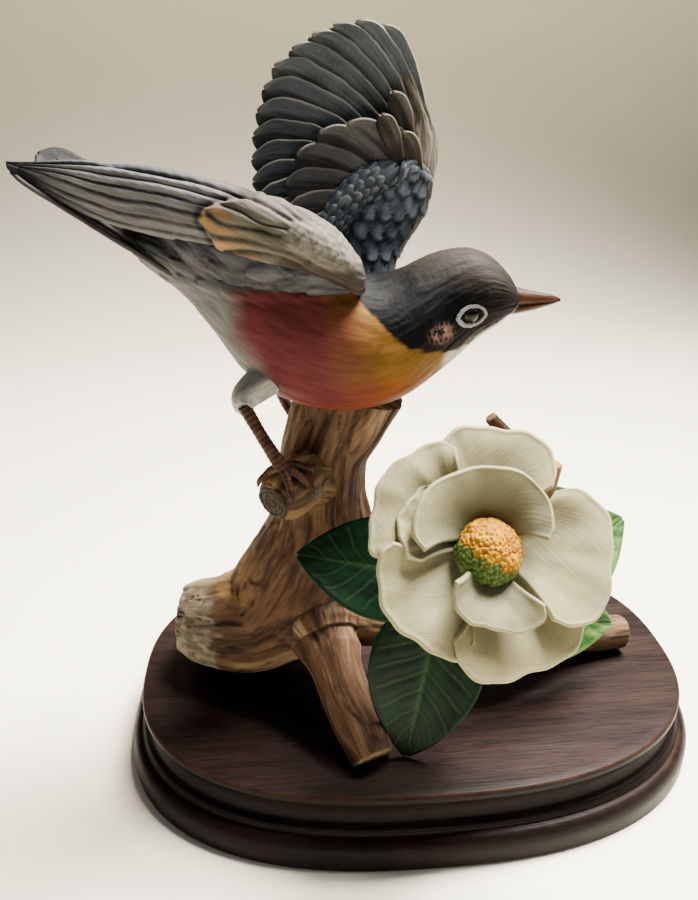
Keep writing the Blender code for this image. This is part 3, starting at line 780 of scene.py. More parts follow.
@dataclass
class WoodenBase:
    """The oval plinth: its outline is a superellipse and its edge a moulded profile.

    Sizes are in millimetres, with z measured up from the underside.
    """

    length: float = 210.0
    depth: float = 147.0
    height: float = 26.0
    power: float = 2.47
    foot: float = 11.0
    fillet: float = 2.0
    lip: float = 3.0
    fillet_inset: float = 3.5
    cove_inset: float = 7.5
    lip_inset: float = 5.0
    rounding: float = 1.2
    sides: int = 180

    def outline(self, inset: float) -> Array:
        """The superellipse moved in: cosine and sine, each to the power of two over n.

        Args:
            inset: How far it is moved in.

        Returns:
            x and y of its points.
        """
        angle = np.linspace(0, 2 * math.pi, self.sides, endpoint=False)
        cos, sin = np.cos(angle), np.sin(angle)
        x = np.sign(cos) * np.abs(cos) ** (2 / self.power) * (self.length / 2 - inset)
        y = np.sign(sin) * np.abs(sin) ** (2 / self.power) * (self.depth / 2 - inset)
        return np.stack([x, y], axis=1)

    def profile(self) -> Array:
        """Inset, height and wear of each ring up the moulding.

        Returns:
            Three numbers a ring, from the foot to the top.
        """
        turn = np.radians(np.linspace(0, 90, 14))
        low = self.foot + self.fillet
        high = self.height - self.lip
        rows = [(self.rounding * (1 - math.sin(a)), self.rounding * (1 - math.cos(a)), 0.1)
                for a in turn[::3]]
        rows += [(self.fillet_inset * (1 - math.cos(a)),
                  self.foot * (0.55 + 0.45 * math.sin(a)), 0.35 * math.sin(a) ** 6) for a in turn]
        rows += [(self.fillet_inset + 0.5, self.foot + 0.25, 0.0),
                 (self.fillet_inset + 0.6, self.foot + 0.9, 0.0),
                 (self.fillet_inset + 0.9, low - 0.35, 0.15)]
        share = np.linspace(0, 1, 18)
        depth = (self.cove_inset - self.lip_inset) * (1 - np.sin(math.pi * share)) * 0.6
        start = smooth(share, 0.0, 0.12) - 1
        rows += [(self.cove_inset - d + 2.0 * s, low + t * (high - low), 0.0)
                 for d, s, t in zip(depth, start, share)]
        rows += [(self.lip_inset + 0.15, high + 0.1, 0.0), (self.lip_inset, high + 0.6, 0.0)]
        rows += [(self.lip_inset + self.rounding * (1 - math.cos(a)),
                  self.height - self.rounding * (1 - math.sin(a)), 0.75 * math.sin(2 * a) ** 2)
                 for a in turn[::2]]
        return np.array(rows)

    def build(self, finish: bpy.types.Material) -> None:
        """Lofts the outline up the profile and closes it over the top and underneath.

        Args:
            finish: The walnut.
        """
        rows = self.profile()
        rings, wear = [], []
        for share in np.linspace(0, 1, 8)[1:-1]:
            flat = self.outline(rows[0, 0]) * share
            rings.append(np.column_stack([flat, np.zeros(self.sides)]))
            wear.append(0.0)
        for inset, height, worn in rows:
            rings.append(np.column_stack([self.outline(inset), np.full(self.sides, height)]))
            wear.append(worn)
        for share in np.linspace(0, 1, 30)[1:-1]:
            flat = self.outline(rows[-1, 0]) * (1 - share)
            rings.append(np.column_stack([flat, np.full(self.sides, self.height)]))
            wear.append(0.0)
        grid = np.array(rings) - [0, 0, BASE_TOP - 1e-4]
        relief = np.broadcast_to(np.array(wear)[:, None], grid.shape[:2])
        # Painted light: the walnut's paint is lighter on the top and darker down the sides, as light
        # falls from above.
        top = smooth(grid[..., 2] + BASE_TOP, self.height - 1.0, self.height - 0.2)
        paint = blend(np.array([0.55, 0.6, 0.65]), np.array([1.35, 1.25, 1.2]), top)
        show(BASE + "_finish", [loft(grid, paint, relief, grid)], finish, BASE)


@dataclass(frozen=True)
class Timber:
    """The colours of modelled wood, dark to light."""

    dark: Array
    middle: Array
    light: Array
    cut: Array


BARK = Timber(srgb(48, 35, 28), srgb(90, 67, 51), srgb(138, 114, 88), srgb(108, 88, 66))
KNOT = Timber(srgb(46, 36, 27), srgb(94, 74, 50), srgb(140, 118, 82), srgb(44, 36, 30))
TWIG = Timber(srgb(42, 34, 28), srgb(86, 68, 50), srgb(136, 108, 72), srgb(150, 114, 66))
BARE = Timber(srgb(56, 50, 41), srgb(88, 80, 66), srgb(130, 121, 104), srgb(84, 74, 60))


@dataclass(frozen=True)
class Limb:
    """A trunk, log or branch: oval rings along a smooth path, with bark that follows it.

    Attributes:
        stations: x, y, z and two half-sizes at each station.
        rows: Rings along the limb.
        sides: Points round a ring.
        timber: Its colours.
        across: The direction that a ring's first half-size lies along.
        ridge: Height of the bark's broad ridges.
        groove: Depth of its cracks.
        seed: Which bark.
        ends: Whether the last end is a cut face that shows.
    """

    stations: tuple[Row, ...]
    rows: int
    sides: int
    timber: Timber
    across: Row = (0, 1, 0)
    ridge: float = 0.8
    groove: float = 0.55
    seed: int = 1
    ends: bool = True

    def path(self, count: int) -> Array:
        """The smooth path: x, y, z and two half-sizes a row."""
        return spline(np.array(self.stations), count)

    def gap(self, points: Array) -> Array:
        """How far points lie outside the limb: the least distance to its path less its size.

        Args:
            points: The points.

        Returns:
            A distance for each point.
        """
        path = self.path(48)
        away = np.linalg.norm(points[..., None, :] - path[:, :3], axis=-1)
        return (away - path[:, 3:].mean(axis=1)).min(axis=-1)

    def rings(self) -> tuple[Array, Array]:
        """The rings with the end's face added, and how far into that face each ring lies.

        Returns:
            Rows of ring points, and a number from 0 to 1 for each row.
        """
        path = self.path(self.rows)
        rings = rings_along(path[:, :3], path[:, 3:], self.sides, self.across)
        face = np.zeros(self.rows)
        if self.ends:
            share = np.linspace(0, 1, 15)[1:-1] ** 1.4
            middle = rings[-1].mean(axis=0)
            size = np.linalg.norm(rings[-1] - middle, axis=1).mean()
            out = unit(path[-1, :3] - path[-2, :3])
            rise = 0.9 * np.sqrt(1 - (1 - np.clip(share * size / 0.9, 0, 1)) ** 2)
            cap = middle + (rings[-1] - middle) * (1 - share)[:, None, None]
            rings = np.concatenate([rings, cap + out * rise[:, None, None]])
            face = np.concatenate([face, share])
        return rings, face

    def skin(self, others: tuple["Limb", ...] = (), fillet: float = 9.0,
             recolour: object = None) -> Skin:
        """The limb with bark, swelling where it meets others so that they run together.

        Broad ridges and cracks are noise stretched along the limb: a crack lies wherever
        the second noise passes zero. Within the fillet's distance of another limb the
        skin rises by that distance, less its gap, squared, over four times the distance.

        Args:
            others: The limbs that it meets.
            fillet: Size of the fillet where they meet.
            recolour: A function of points and colours that gives the final colours.

        Returns:
            The closed skin.
        """
        rings, face = self.rings()
        flow = straightened(rings)
        wander = noise(flow / [34, 11, 11], self.seed + 9, 2)[..., None] * [0, 3.0, 3.0]
        broad = noise((flow + wander) / [52, 7.5, 7.5], self.seed, 2)
        cracks = bell(noise((flow + wander) / [38, 4.2, 4.2], self.seed + 3, 2), 0.07)
        fine = noise((flow + wander) / [15, 1.0, 1.0], self.seed + 5, 3)
        side = 1 - smooth(face, 0.02, 0.10)[:, None]
        height = side * (self.ridge * broad - 0.8 * self.groove * cracks + 0.13 * fine)
        radius = (1 - face)[:, None] + 0 * flow[..., 0]
        ring_lines = np.sin(radius * 26 + 2.2 * noise(rings / 3.0, self.seed + 7, 2))
        height += (1 - side) * (0.22 * noise(rings / 1.6, self.seed + 8, 3) + 0.12 * ring_lines)
        out = normals(rings, True)
        middle = rings.mean(axis=1, keepdims=True)
        if np.einsum("ijk,ijk->", out[: self.rows], (rings - middle)[: self.rows]) < 0:
            out = -out
        grown = rings + out * height[..., None]
        for other in others:
            near = np.clip(fillet - np.abs(other.gap(grown)), 0, None)
            grown = grown + out * (side * near**2 / (4 * fillet))[..., None]
        tone = noise((flow + wander) / [30, 3.4, 3.4], self.seed + 11, 4)
        thin = noise((flow + wander) / [7, 0.7, 0.7], self.seed + 15, 3)
        patch = noise(flow / [30, 12, 12], self.seed + 13, 2)
        timber = self.timber
        mellow = smooth(0.7 * tone + 0.6 * patch + 0.4 * thin, -0.9, 0.5)
        paint = blend(timber.dark, timber.middle, mellow)
        light = 0.9 * broad + 0.5 * tone + 0.9 * patch + 0.35 * thin
        paint = blend(paint, timber.light, smooth(light, 0.35, 1.5))
        cut = blend(timber.cut * 0.6, timber.cut * 1.2, smooth(ring_lines, -0.6, 0.8))
        paint = blend(paint, cut, np.broadcast_to(1 - side, broad.shape))
        if recolour is not None:
            paint = recolour(grown, paint)
        relief = np.clip(0.64 + 0.22 * broad + 0.2 * fine + 0.16 * thin - 0.6 * cracks, 0, 1)
        relief = relief * side + (1 - side) * np.clip(0.6 + 0.3 * ring_lines, 0, 1)
        return loft(grown, paint, relief, flow)


def golden_log(points: Array, paint: Array) -> Array:
    """Colours the log: pale bare wood at its left end and gold along its top.

    Args:
        points: Places on the stump.
        paint: Its colours.

    Returns:
        The new colours.
    """
    ragged = 3.0 * noise(points / [9.0, 3.0, 3.0], 71, 3)
    bare = 1 - smooth(points[..., 0] + ragged, -74.5, -70.0)
    fibres = smooth(noise(points / [12.0, 2.0, 1.6], 73, 3), -0.4, 0.7)
    grey = blend(BARE.middle, BARE.light, fibres)
    paint = blend(paint, grey, bare * 0.85)
    gold = smooth(points[..., 2] + ragged, 31, 37) * (1 - smooth(points[..., 0], -66, -52))
    return blend(paint, srgb(132, 104, 66), 0.8 * gold * smooth(ragged, -2.5, 1.5))


@dataclass
class Stump:
    """The stump under the robin, the log that it bends into, and the branches."""

    trunk: Limb = Limb(
        ((-23, -3, 112, 15, 18.2), (-26.8, -2, 101, 14.5, 16.4), (-31.4, -1, 88, 14, 14.7),
         (-33, 0, 74, 14, 15.3), (-33.5, 0, 60, 15, 18.5), (-37, 0, 46, 17, 21.5),
         (-44, 0, 32, 18.5, 22.5), (-54, 0, 22, 19, 20.5), (-64, 2, 19, 18.5, 19.5),
         (-71, 4, 17.6, 16.7, 17.4), (-77, 6.5, 17, 15.8, 15.8), (-81.6, 8.2, 16.6, 13.6, 13.8)),
        236, 172, BARK, seed=2, ridge=1.0, groove=0.8)
    front: Limb = Limb(
        ((-30, -6, 30, 9.5, 9.5), (-33, -14, 25, 10.5, 10.5), (-31, -24, 20, 9, 9),
         (-27, -37, 12, 8.6, 8.6), (-22.5, -47.5, 6.2, 8.4, 8.4), (-20.4, -53, 2.6, 7.6, 7.6)),
        150, 96, BARK, across=(1, 0, 0), seed=23, ridge=0.8, groove=0.7)
    collar: Limb = Limb(
        ((-33.5, -9, 29, 9, 9), (-33, -14.5, 25.5, 12.2, 12.2), (-32.3, -18, 23.6, 10.6, 10.6)),
        44, 96, BARK, across=(1, 0, 0), seed=31, ridge=0.5, groove=0.4, ends=False)
    right: Limb = Limb(
        ((-30, -6, 22, 9.5, 9.5), (-14, -12, 24, 8, 8), (8, -17, 26, 7.5, 7.5),
         (32, -14, 22, 7.3, 7.3), (56, -8, 12, 6.7, 6.7), (72, -4, 7.6, 6.7, 6.7),
         (82, -2.3, 6.6, 6.2, 6.2)),
        180, 76, TWIG, seed=41, ridge=0.6, groove=0.5)
    knot: Limb = Limb(
        ((-32, -6, 80, 7.4, 8), (-39, -15, 83.6, 8.4, 8.8), (-43, -23.5, 85.6, 8.8, 9.4),
         (-46.4, -28.6, 85.4, 8.2, 8.8), (-48.6, -30.8, 84.9, 6, 6.6)),
        110, 96, KNOT, across=(0, 0, 1), seed=53, ridge=0.8, groove=0.7)
    twigs: tuple[tuple[str, Limb], ...] = (
        ("flower_stalk", Limb(
            ((20, -14, 26, 4.1, 4.1), (19, -20, 48, 3.9, 3.9), (15, -36, 66, 3.7, 3.7),
             (12, -50, 76.7, 3.5, 3.5)), 64, 28, BARK, seed=61, ridge=0.2, groove=0.2)),
        ("cut_twig", Limb(
            ((32, -14, 22, 3.6, 3.6), (38, -14, 45, 3.8, 3.8), (41.5, -12, 68, 3.8, 3.8),
             (43.2, -13, 84.8, 3.6, 3.6)), 84, 30, TWIG, seed=67, ridge=0.3, groove=0.25)),
        ("dark_twig", Limb(
            ((41, -13, 56, 2.6, 2.6), (36, -17, 78, 2.6, 2.6), (28, -20, 95, 2.6, 2.6),
             (20, -19, 104.6, 2.2, 2.2)), 80, 28, BARK, seed=79, ridge=0.25, groove=0.2)),
    )

    def build(self, finish: bpy.types.Material) -> None:
        """Makes the stump, the branches and the twigs.

        Args:
            finish: The painted bark.
        """
        joined = (self.front, self.right, self.knot)
        show("stump", [self.trunk.skin(joined, 9.0, golden_log)], finish)
        show("front_branch", [self.front.skin((self.trunk, self.collar), 6.0),
                              self.collar.skin((self.trunk, self.front), 5.0)], finish)
        show("right_branch", [self.right.skin((self.trunk,), 8.0)], finish)
        show("knot", [self.knot.skin((self.trunk,), 5.0)], finish)
        for name, twig in self.twigs:
            show(name, [twig.skin()], finish)


def scales(along: Array, around: Array) -> tuple[Array, Array, Array]:
    """Overlapping round-tipped feathers in staggered rows, the row nearer the head on top.

    With one feather a unit each way, a feather reaches past its row by three quarters of
    the quarter circle over its breadth, and rises evenly from its root to its tip.

    Args:
        along: Distance towards the tail, in feathers.
        around: Distance across, in feathers.

    Returns:
        The height from 0 to 1, the place across the feather from -1 to 1, and a number
        that differs from feather to feather.
    """
    start = np.floor(along)
    height, across, which = None, None, None
    for row in (start, start - 1):
        shift = around + 0.5 * (row % 2)
        place = 2 * (shift - np.floor(shift)) - 1
        length = along - row
        number = np.sin(12.9 * row + 78.2 * np.floor(shift)) * 43.7
        number = number - np.floor(number)
        if height is None:
            height, across, which = length / 1.75, place, number
        else:
            over = length < 1 + 0.75 * np.sqrt(np.clip(1 - place**2, 0, 1))
            height = np.where(over, length / 1.75, height)
            across = np.where(over, place, across)
            which = np.where(over, number, which)
    return height, across, which


@dataclass(frozen=True)
class Plume:
    """The colours of a group of feathers.

    Attributes:
        root: Colour at a feather's root.
        vane: Colour over most of it.
        edge: Colour along its raised edge and its tip, partly the feathers' pale edges and partly a
            painted highlight.
        under: Colour of its underside.
    """

    root: Array
    vane: Array
    edge: Array
    under: Array


SLATE = Plume(srgb(44, 47, 52), srgb(74, 79, 84), srgb(118, 111, 98), srgb(54, 54, 56))
COVERT = Plume(srgb(46, 46, 48), srgb(76, 76, 78), srgb(114, 106, 96), srgb(56, 54, 53))
TONGUE = Plume(srgb(52, 50, 48), srgb(76, 72, 67), srgb(112, 98, 80), srgb(54, 52, 50))
GREY = Plume(srgb(42, 46, 52), srgb(78, 85, 94), srgb(116, 122, 126), srgb(60, 60, 62))
TAUPE = Plume(srgb(30, 30, 32), srgb(64, 66, 69), srgb(96, 96, 95), srgb(60, 57, 55))
GOLDEN = Plume(srgb(58, 53, 46), srgb(84, 80, 72), srgb(136, 102, 64), srgb(66, 61, 54))
PEARL = Plume(srgb(38, 38, 42), srgb(64, 66, 70), srgb(87, 88, 91), srgb(72, 72, 74))
TAIL = Plume(srgb(22, 22, 25), srgb(38, 39, 43), srgb(62, 60, 58), srgb(46, 43, 42))


@dataclass
class Feather:
    """One modelled feather: a thin curved blade with a shaft, a raised edge and a round tip.

    Attributes:
        root: Where it starts.
        tip: Where it ends.
        width: Its breadth.
        facing: The direction its upper side faces.
        bow: How far its line bends sideways.
        tilt: How far one edge rises and the other falls.
        arch: How far its line bows towards its upper side.
        narrow: Its breadth at the root as a share of the width.
        thickness: Thickness of the blade.
        cover: Where its neighbour's edge lies across it, at its root and at its tip; the part that it
            covers is painted in shade.
        rows: Steps along it.
        columns: Steps across it.
    """

    root: Array
    tip: Array
    width: float
    facing: Row
    bow: float = 0.0
    tilt: float = 0.4
    arch: float = 0.0
    narrow: float = 0.65
    thickness: float = 1.3
    cover: Row = (0.5, -0.2)
    rows: int = 46
    columns: int = 21

    def skin(self, plume: Plume, seed: int) -> Skin:
        """Builds the blade.

        The middle line runs straight from root to tip plus a parabola times the bow. The
        breadth swells from the root and closes in along a quarter circle at the tip.

        Args:
            plume: Its colours.
            seed: Which small irregularities it has.

        Returns:
            The closed skin.
        """
        root, tip = np.asarray(self.root, float), np.asarray(self.tip, float)
        facing = unit(self.facing)
        side = unit(np.cross(facing, tip - root))
        length = np.linalg.norm(tip - root)
        share = 1 - (1 - np.linspace(0, 1, self.rows)) ** 1.7
        across = eased(self.columns)[None, :]
        start = max(0.3, 1 - 0.62 * self.width / length)
        close = np.clip((share - start) / (1 - start), 0, 1)
        breadth = self.narrow + (1 - self.narrow) * smooth(share, 0, 0.65)
        breadth = self.width / 2 * breadth * np.sqrt(np.clip(1 - close**2.2, 0, 1))
        hump = (4 * share * (1 - share))[:, None]
        line = root + share[:, None] * (tip - root) + hump * (self.bow * side + self.arch * facing)
        s = share[:, None] + 0 * across
        a = across + 0 * s
        raised = a * np.sign(self.tilt)
        ragged = 0.05 * sheet_noise(s * length / 4, a, seed, seed)
        grid = line[:, None] + side * (breadth[:, None] * (a + ragged * np.abs(a)))[..., None]
        grid = grid + facing * (self.tilt * a)[..., None]
        grain = sheet_noise(s * length / 9, a * 3.2, 0.37 * seed, seed + 1)
        shaft = bell(a - 0.05, 0.06)
        grooves = bell(a - 0.2, 0.08) + bell(a + 0.12, 0.07)
        rim = smooth(raised, 0.84, 0.94) * (1 - smooth(raised, 0.96, 1.0))
        barbs = np.sin(2 * math.pi * (s * length / 1.9 - 1.6 * np.abs(a)) + grain)
        barbs = barbs * smooth(np.abs(a), 0.1, 0.5)
        fade = 1 - smooth(s, 0.86, 1.0)
        height = fade * (0.20 * shaft - 0.12 * grooves + 0.06 * barbs) + 0.20 * rim + 0.10 * grain
        # Painted shade: where the neighbour's raised edge lies over the blade, the relief is lowered
        # so that the wash darkens it.
        hidden = self.cover[0] + (self.cover[1] - self.cover[0]) * s
        shadow_under_neighbour = 1 - smooth(raised, hidden - 0.15, hidden + 0.7)
        relief = 0.66 + 0.2 * grain + 0.3 * rim + 0.14 * shaft - 0.62 * shadow_under_neighbour
        relief = relief - (0.25 * grooves - 0.05 * barbs) * fade - 0.3 * bell(s, 0.12)
        relief = np.clip(relief, 0, 1)
        paint = blend(plume.root, plume.vane, smooth(s + 0.12 * grain, 0.1, 0.55))
        # The raised edge and the tip take the edge colour: partly the feathers' pale edges, partly a
        # painted highlight.
        lit = np.clip(smooth(raised, 0.86, 0.97) + 0.5 * smooth(s, 0.95, 0.995), 0, 1)
        paint = blend(paint, plume.edge, lit * (0.6 + 0.3 * grain))
        tone = 1 + 0.10 * math.sin(seed * 7.3) + 0.14 * grain
        return shell(grid, self.thickness, paint * tone[..., None], height, relief, plume.under)


@dataclass
class RobinBody:
    """Breast, back and head in one skin between a belly line and a back line.

    Each ring is an oval whose lowest point is on the belly line and whose highest is on
    the back line; cosine of the angle runs across the bird.

    Attributes:
        stations: Belly x and z, back x and z, and half-breadth at each station.
        rows: Rings from the tail to the face.
        sides: Points round a ring.
    """

    stations: tuple[Row, ...] = (
        (-84, 155, -90, 166, 8), (-71.5, 142.5, -79, 162.5, 11),
        (-63.5, 131.5, -68.5, 161.5, 14.5), (-56.5, 120.5, -57.5, 161, 18.5),
        (-46, 112, -45, 158.5, 21.5), (-33, 107.5, -32, 153.5, 23),
        (-19.5, 106.8, -19.5, 148.6, 22.5), (-7.5, 110.5, -10.5, 148.6, 20.5),
        (2, 117, -4.5, 151, 17.5), (9.5, 123, 0.5, 153.4, 14.5), (15, 127.8, 6.5, 155, 13),
        (19.5, 131, 12.8, 155.1, 12.4), (23, 133.4, 19, 152.6, 10.8), (25.6, 135.4, 24, 148, 8),
        (27.4, 137.3, 27, 143.6, 4.6),
    )
    rows: int = 240
    sides: int = 184

    def rings(self) -> Array:
        """The ovals between belly and back, from tail to face."""
        return pillow_rings(tuple((*row[:4], BIRD_Y, row[4]) for row in self.stations),
                            self.rows, self.sides)

    def seat(self, places: Array, side: int) -> tuple[Array, Array]:
        """The skin's nearest points to some x and z on one side, and its direction there.

        Args:
            places: Each x and z.
            side: -1 for the near side, 1 for the far.

        Returns:
            The points and their directions.
        """
        rings = self.rings()
        out = outward(rings).reshape(-1, 3)
        points = rings.reshape(-1, 3)
        kept = (points[:, 1] - BIRD_Y) * side > 4
        points, out = points[kept], out[kept]
        gap = np.linalg.norm(points[None, :, [0, 2]] - np.atleast_2d(places)[:, None], axis=-1)
        nearest = gap.argmin(axis=1)
        return points[nearest], out[nearest]

    @staticmethod
    def hood(points: Array) -> Array:
        """How surely a point lies on the dark hood: above a ragged line from nape to chin.

        Args:
            points: Places on the skin.

        Returns:
            A share for each point.
        """
        x, z = points[..., 0], points[..., 2]
        line = np.interp(x, (-30, -23, -18.5, -13, -8, -0.5, 4, 9, 12, 16, 22, 28),
                         (154, 145, 139.6, 134, 130.5, 128.3, 127.2, 127, 128.2, 131.2, 135.4,
                          138.4))
        ragged = 0.7 * noise(points / [3.0, 2.0, 1.0], 91, 3)
        return smooth(z + ragged - line, -0.7, 0.9) * smooth(x, -31, -25)

    def paint(self, points: Array, fine: Array) -> Array:
        """The robin's colours, each laid over the last with a soft ragged border.

        Args:
            points: Places on the skin.
            fine: Small variation from -1 to 1.

        Returns:
            A colour a point.
        """
        x, z = points[..., 0], points[..., 2]
        drift = 3.5 * noise(points / [16.0, 9.0, 9.0], 93, 3)
        paint = blend(srgb(108, 50, 38), srgb(76, 37, 39), smooth(z + drift, 105, 117))
        front = smooth(x + drift + 0.30 * (z - 128), -36, -12)
        gold = blend(srgb(104, 58, 25), srgb(96, 70, 30), smooth(z + drift, 112, 128))
        paint = blend(paint, gold, front)
        vent = 1 - smooth(x + drift - np.interp(z, (108, 118, 123, 138, 147),
                                                (-44, -48, -51, -57, -60)), -5, 5)
        paint = blend(paint, srgb(91, 92, 92), vent)
        back = smooth(z + 0.4 * drift - np.interp(x, (-90, -70, -58, -24), (160, 154, 147, 147)),
                      -0.8, 1.2) * (1 - smooth(x, -25, -21.5))
        paint = blend(paint, blend(PEARL.root, PEARL.edge, fine * 0.5 + 0.5), back)
        mantle = smooth(z + 0.3 * drift - np.interp(x, (-90, -60, -30, -20), (160, 157, 151, 146)),
                        -1, 2) * (1 - smooth(x, -16, -9))
        paint = blend(paint, srgb(50, 46, 41), mantle)
        chin = smooth(x + 0.4 * drift, 2.5, 6.0)
        paint = blend(paint, srgb(160, 155, 144), chin)
        crown = smooth(z + 0.5 * drift + 0.25 * x, 144, 156)
        hood = blend(srgb(6, 7, 9), srgb(43, 40, 36), crown)
        paint = blend(paint, hood * (1 + 0.25 * fine[..., None]), self.hood(points))
        cheek = np.clip(1.6 * bell(np.hypot((x - 1.8) / 4.4, (z - 133.8) / 3.4), 1.0) - 0.4, 0, 1)
        jaw = bell(np.hypot((x - 12.5) / 3.6, (z - 0.55 * x - 123.3) / 1.2), 1.0)
        _, spot, _ = scales(z / 2.4, x / 1.5)
        spots = smooth(1 - np.abs(spot) + 0.5 * noise(points / 1.5, 97, 2), 0.35, 0.7)
        rosy = np.clip(cheek * spots + 0.7 * jaw * spots, 0, 1)
        return blend(paint, srgb(112, 86, 80), 0.9 * rosy)

    def skin(self) -> Skin:
        """The body with scale feathers on back and flank and fine strokes on breast and head.

        Returns:
            The closed skin.
        """
        rings = self.rings()
        flow = straightened(rings)
        out = outward(rings)
        x, z = rings[..., 0], rings[..., 2]
        tailward = flow[-1, 0, 0] - flow[..., 0]
        turn = np.linspace(0, 1, self.sides, endpoint=False)[None, :]
        wobble = noise(flow / 9.0, 101, 2)
        large, place, which = scales((tailward + wobble) / 7.5, turn * 18 + 0.1 * wobble)
        small, spot, _ = scales((tailward + 2.4 * wobble) / 2.4, turn * 50 + 0.7 * wobble)
        strokes = noise((flow + wobble[..., None]) / [7, 0.8, 0.8], 103, 2)
        folds = noise((flow + 3 * wobble[..., None]) / [26, 4.2, 4.2], 105, 2)
        hood = self.hood(rings)
        line = np.interp(x, (-90, -66, -58, -24, -16), (150, 148, 146, 145.5, 160))
        upper = smooth(z - line, -1, 1)
        upper = np.where(hood > 0.5, 0, upper * (1 - smooth(x, -25, -21)))
        barbs = np.sin(26 * place + 3 * large)
        height = upper * (1.0 * large * (1 - 0.35 * place**2) + 0.05 * barbs)
        height += hood * (0.11 * small * (1 - 0.3 * spot**2) + 0.19 * strokes)
        rest = np.clip(1 - upper - hood, 0, 1)
        height += rest * (0.30 * folds + 0.15 * strokes)
        brow = bell(np.hypot((x - 12) / 7.0, (z - 143.8) / 2.0), 1.0) * 0.45
        height += brow
        relief = upper * np.clip(0.25 + large - 0.1 * barbs * large, 0, 1)
        relief += hood * np.clip(0.55 + 0.35 * small + 0.35 * strokes, 0, 1)
        relief += rest * np.clip(0.66 + 0.45 * folds + 0.3 * strokes, 0, 1)
        paint = self.paint(rings, np.clip(0.8 * strokes + 0.5 * (which - 0.5), -1, 1))
        return loft(rings + out * height[..., None], paint, np.clip(relief, 0, 1), flow)


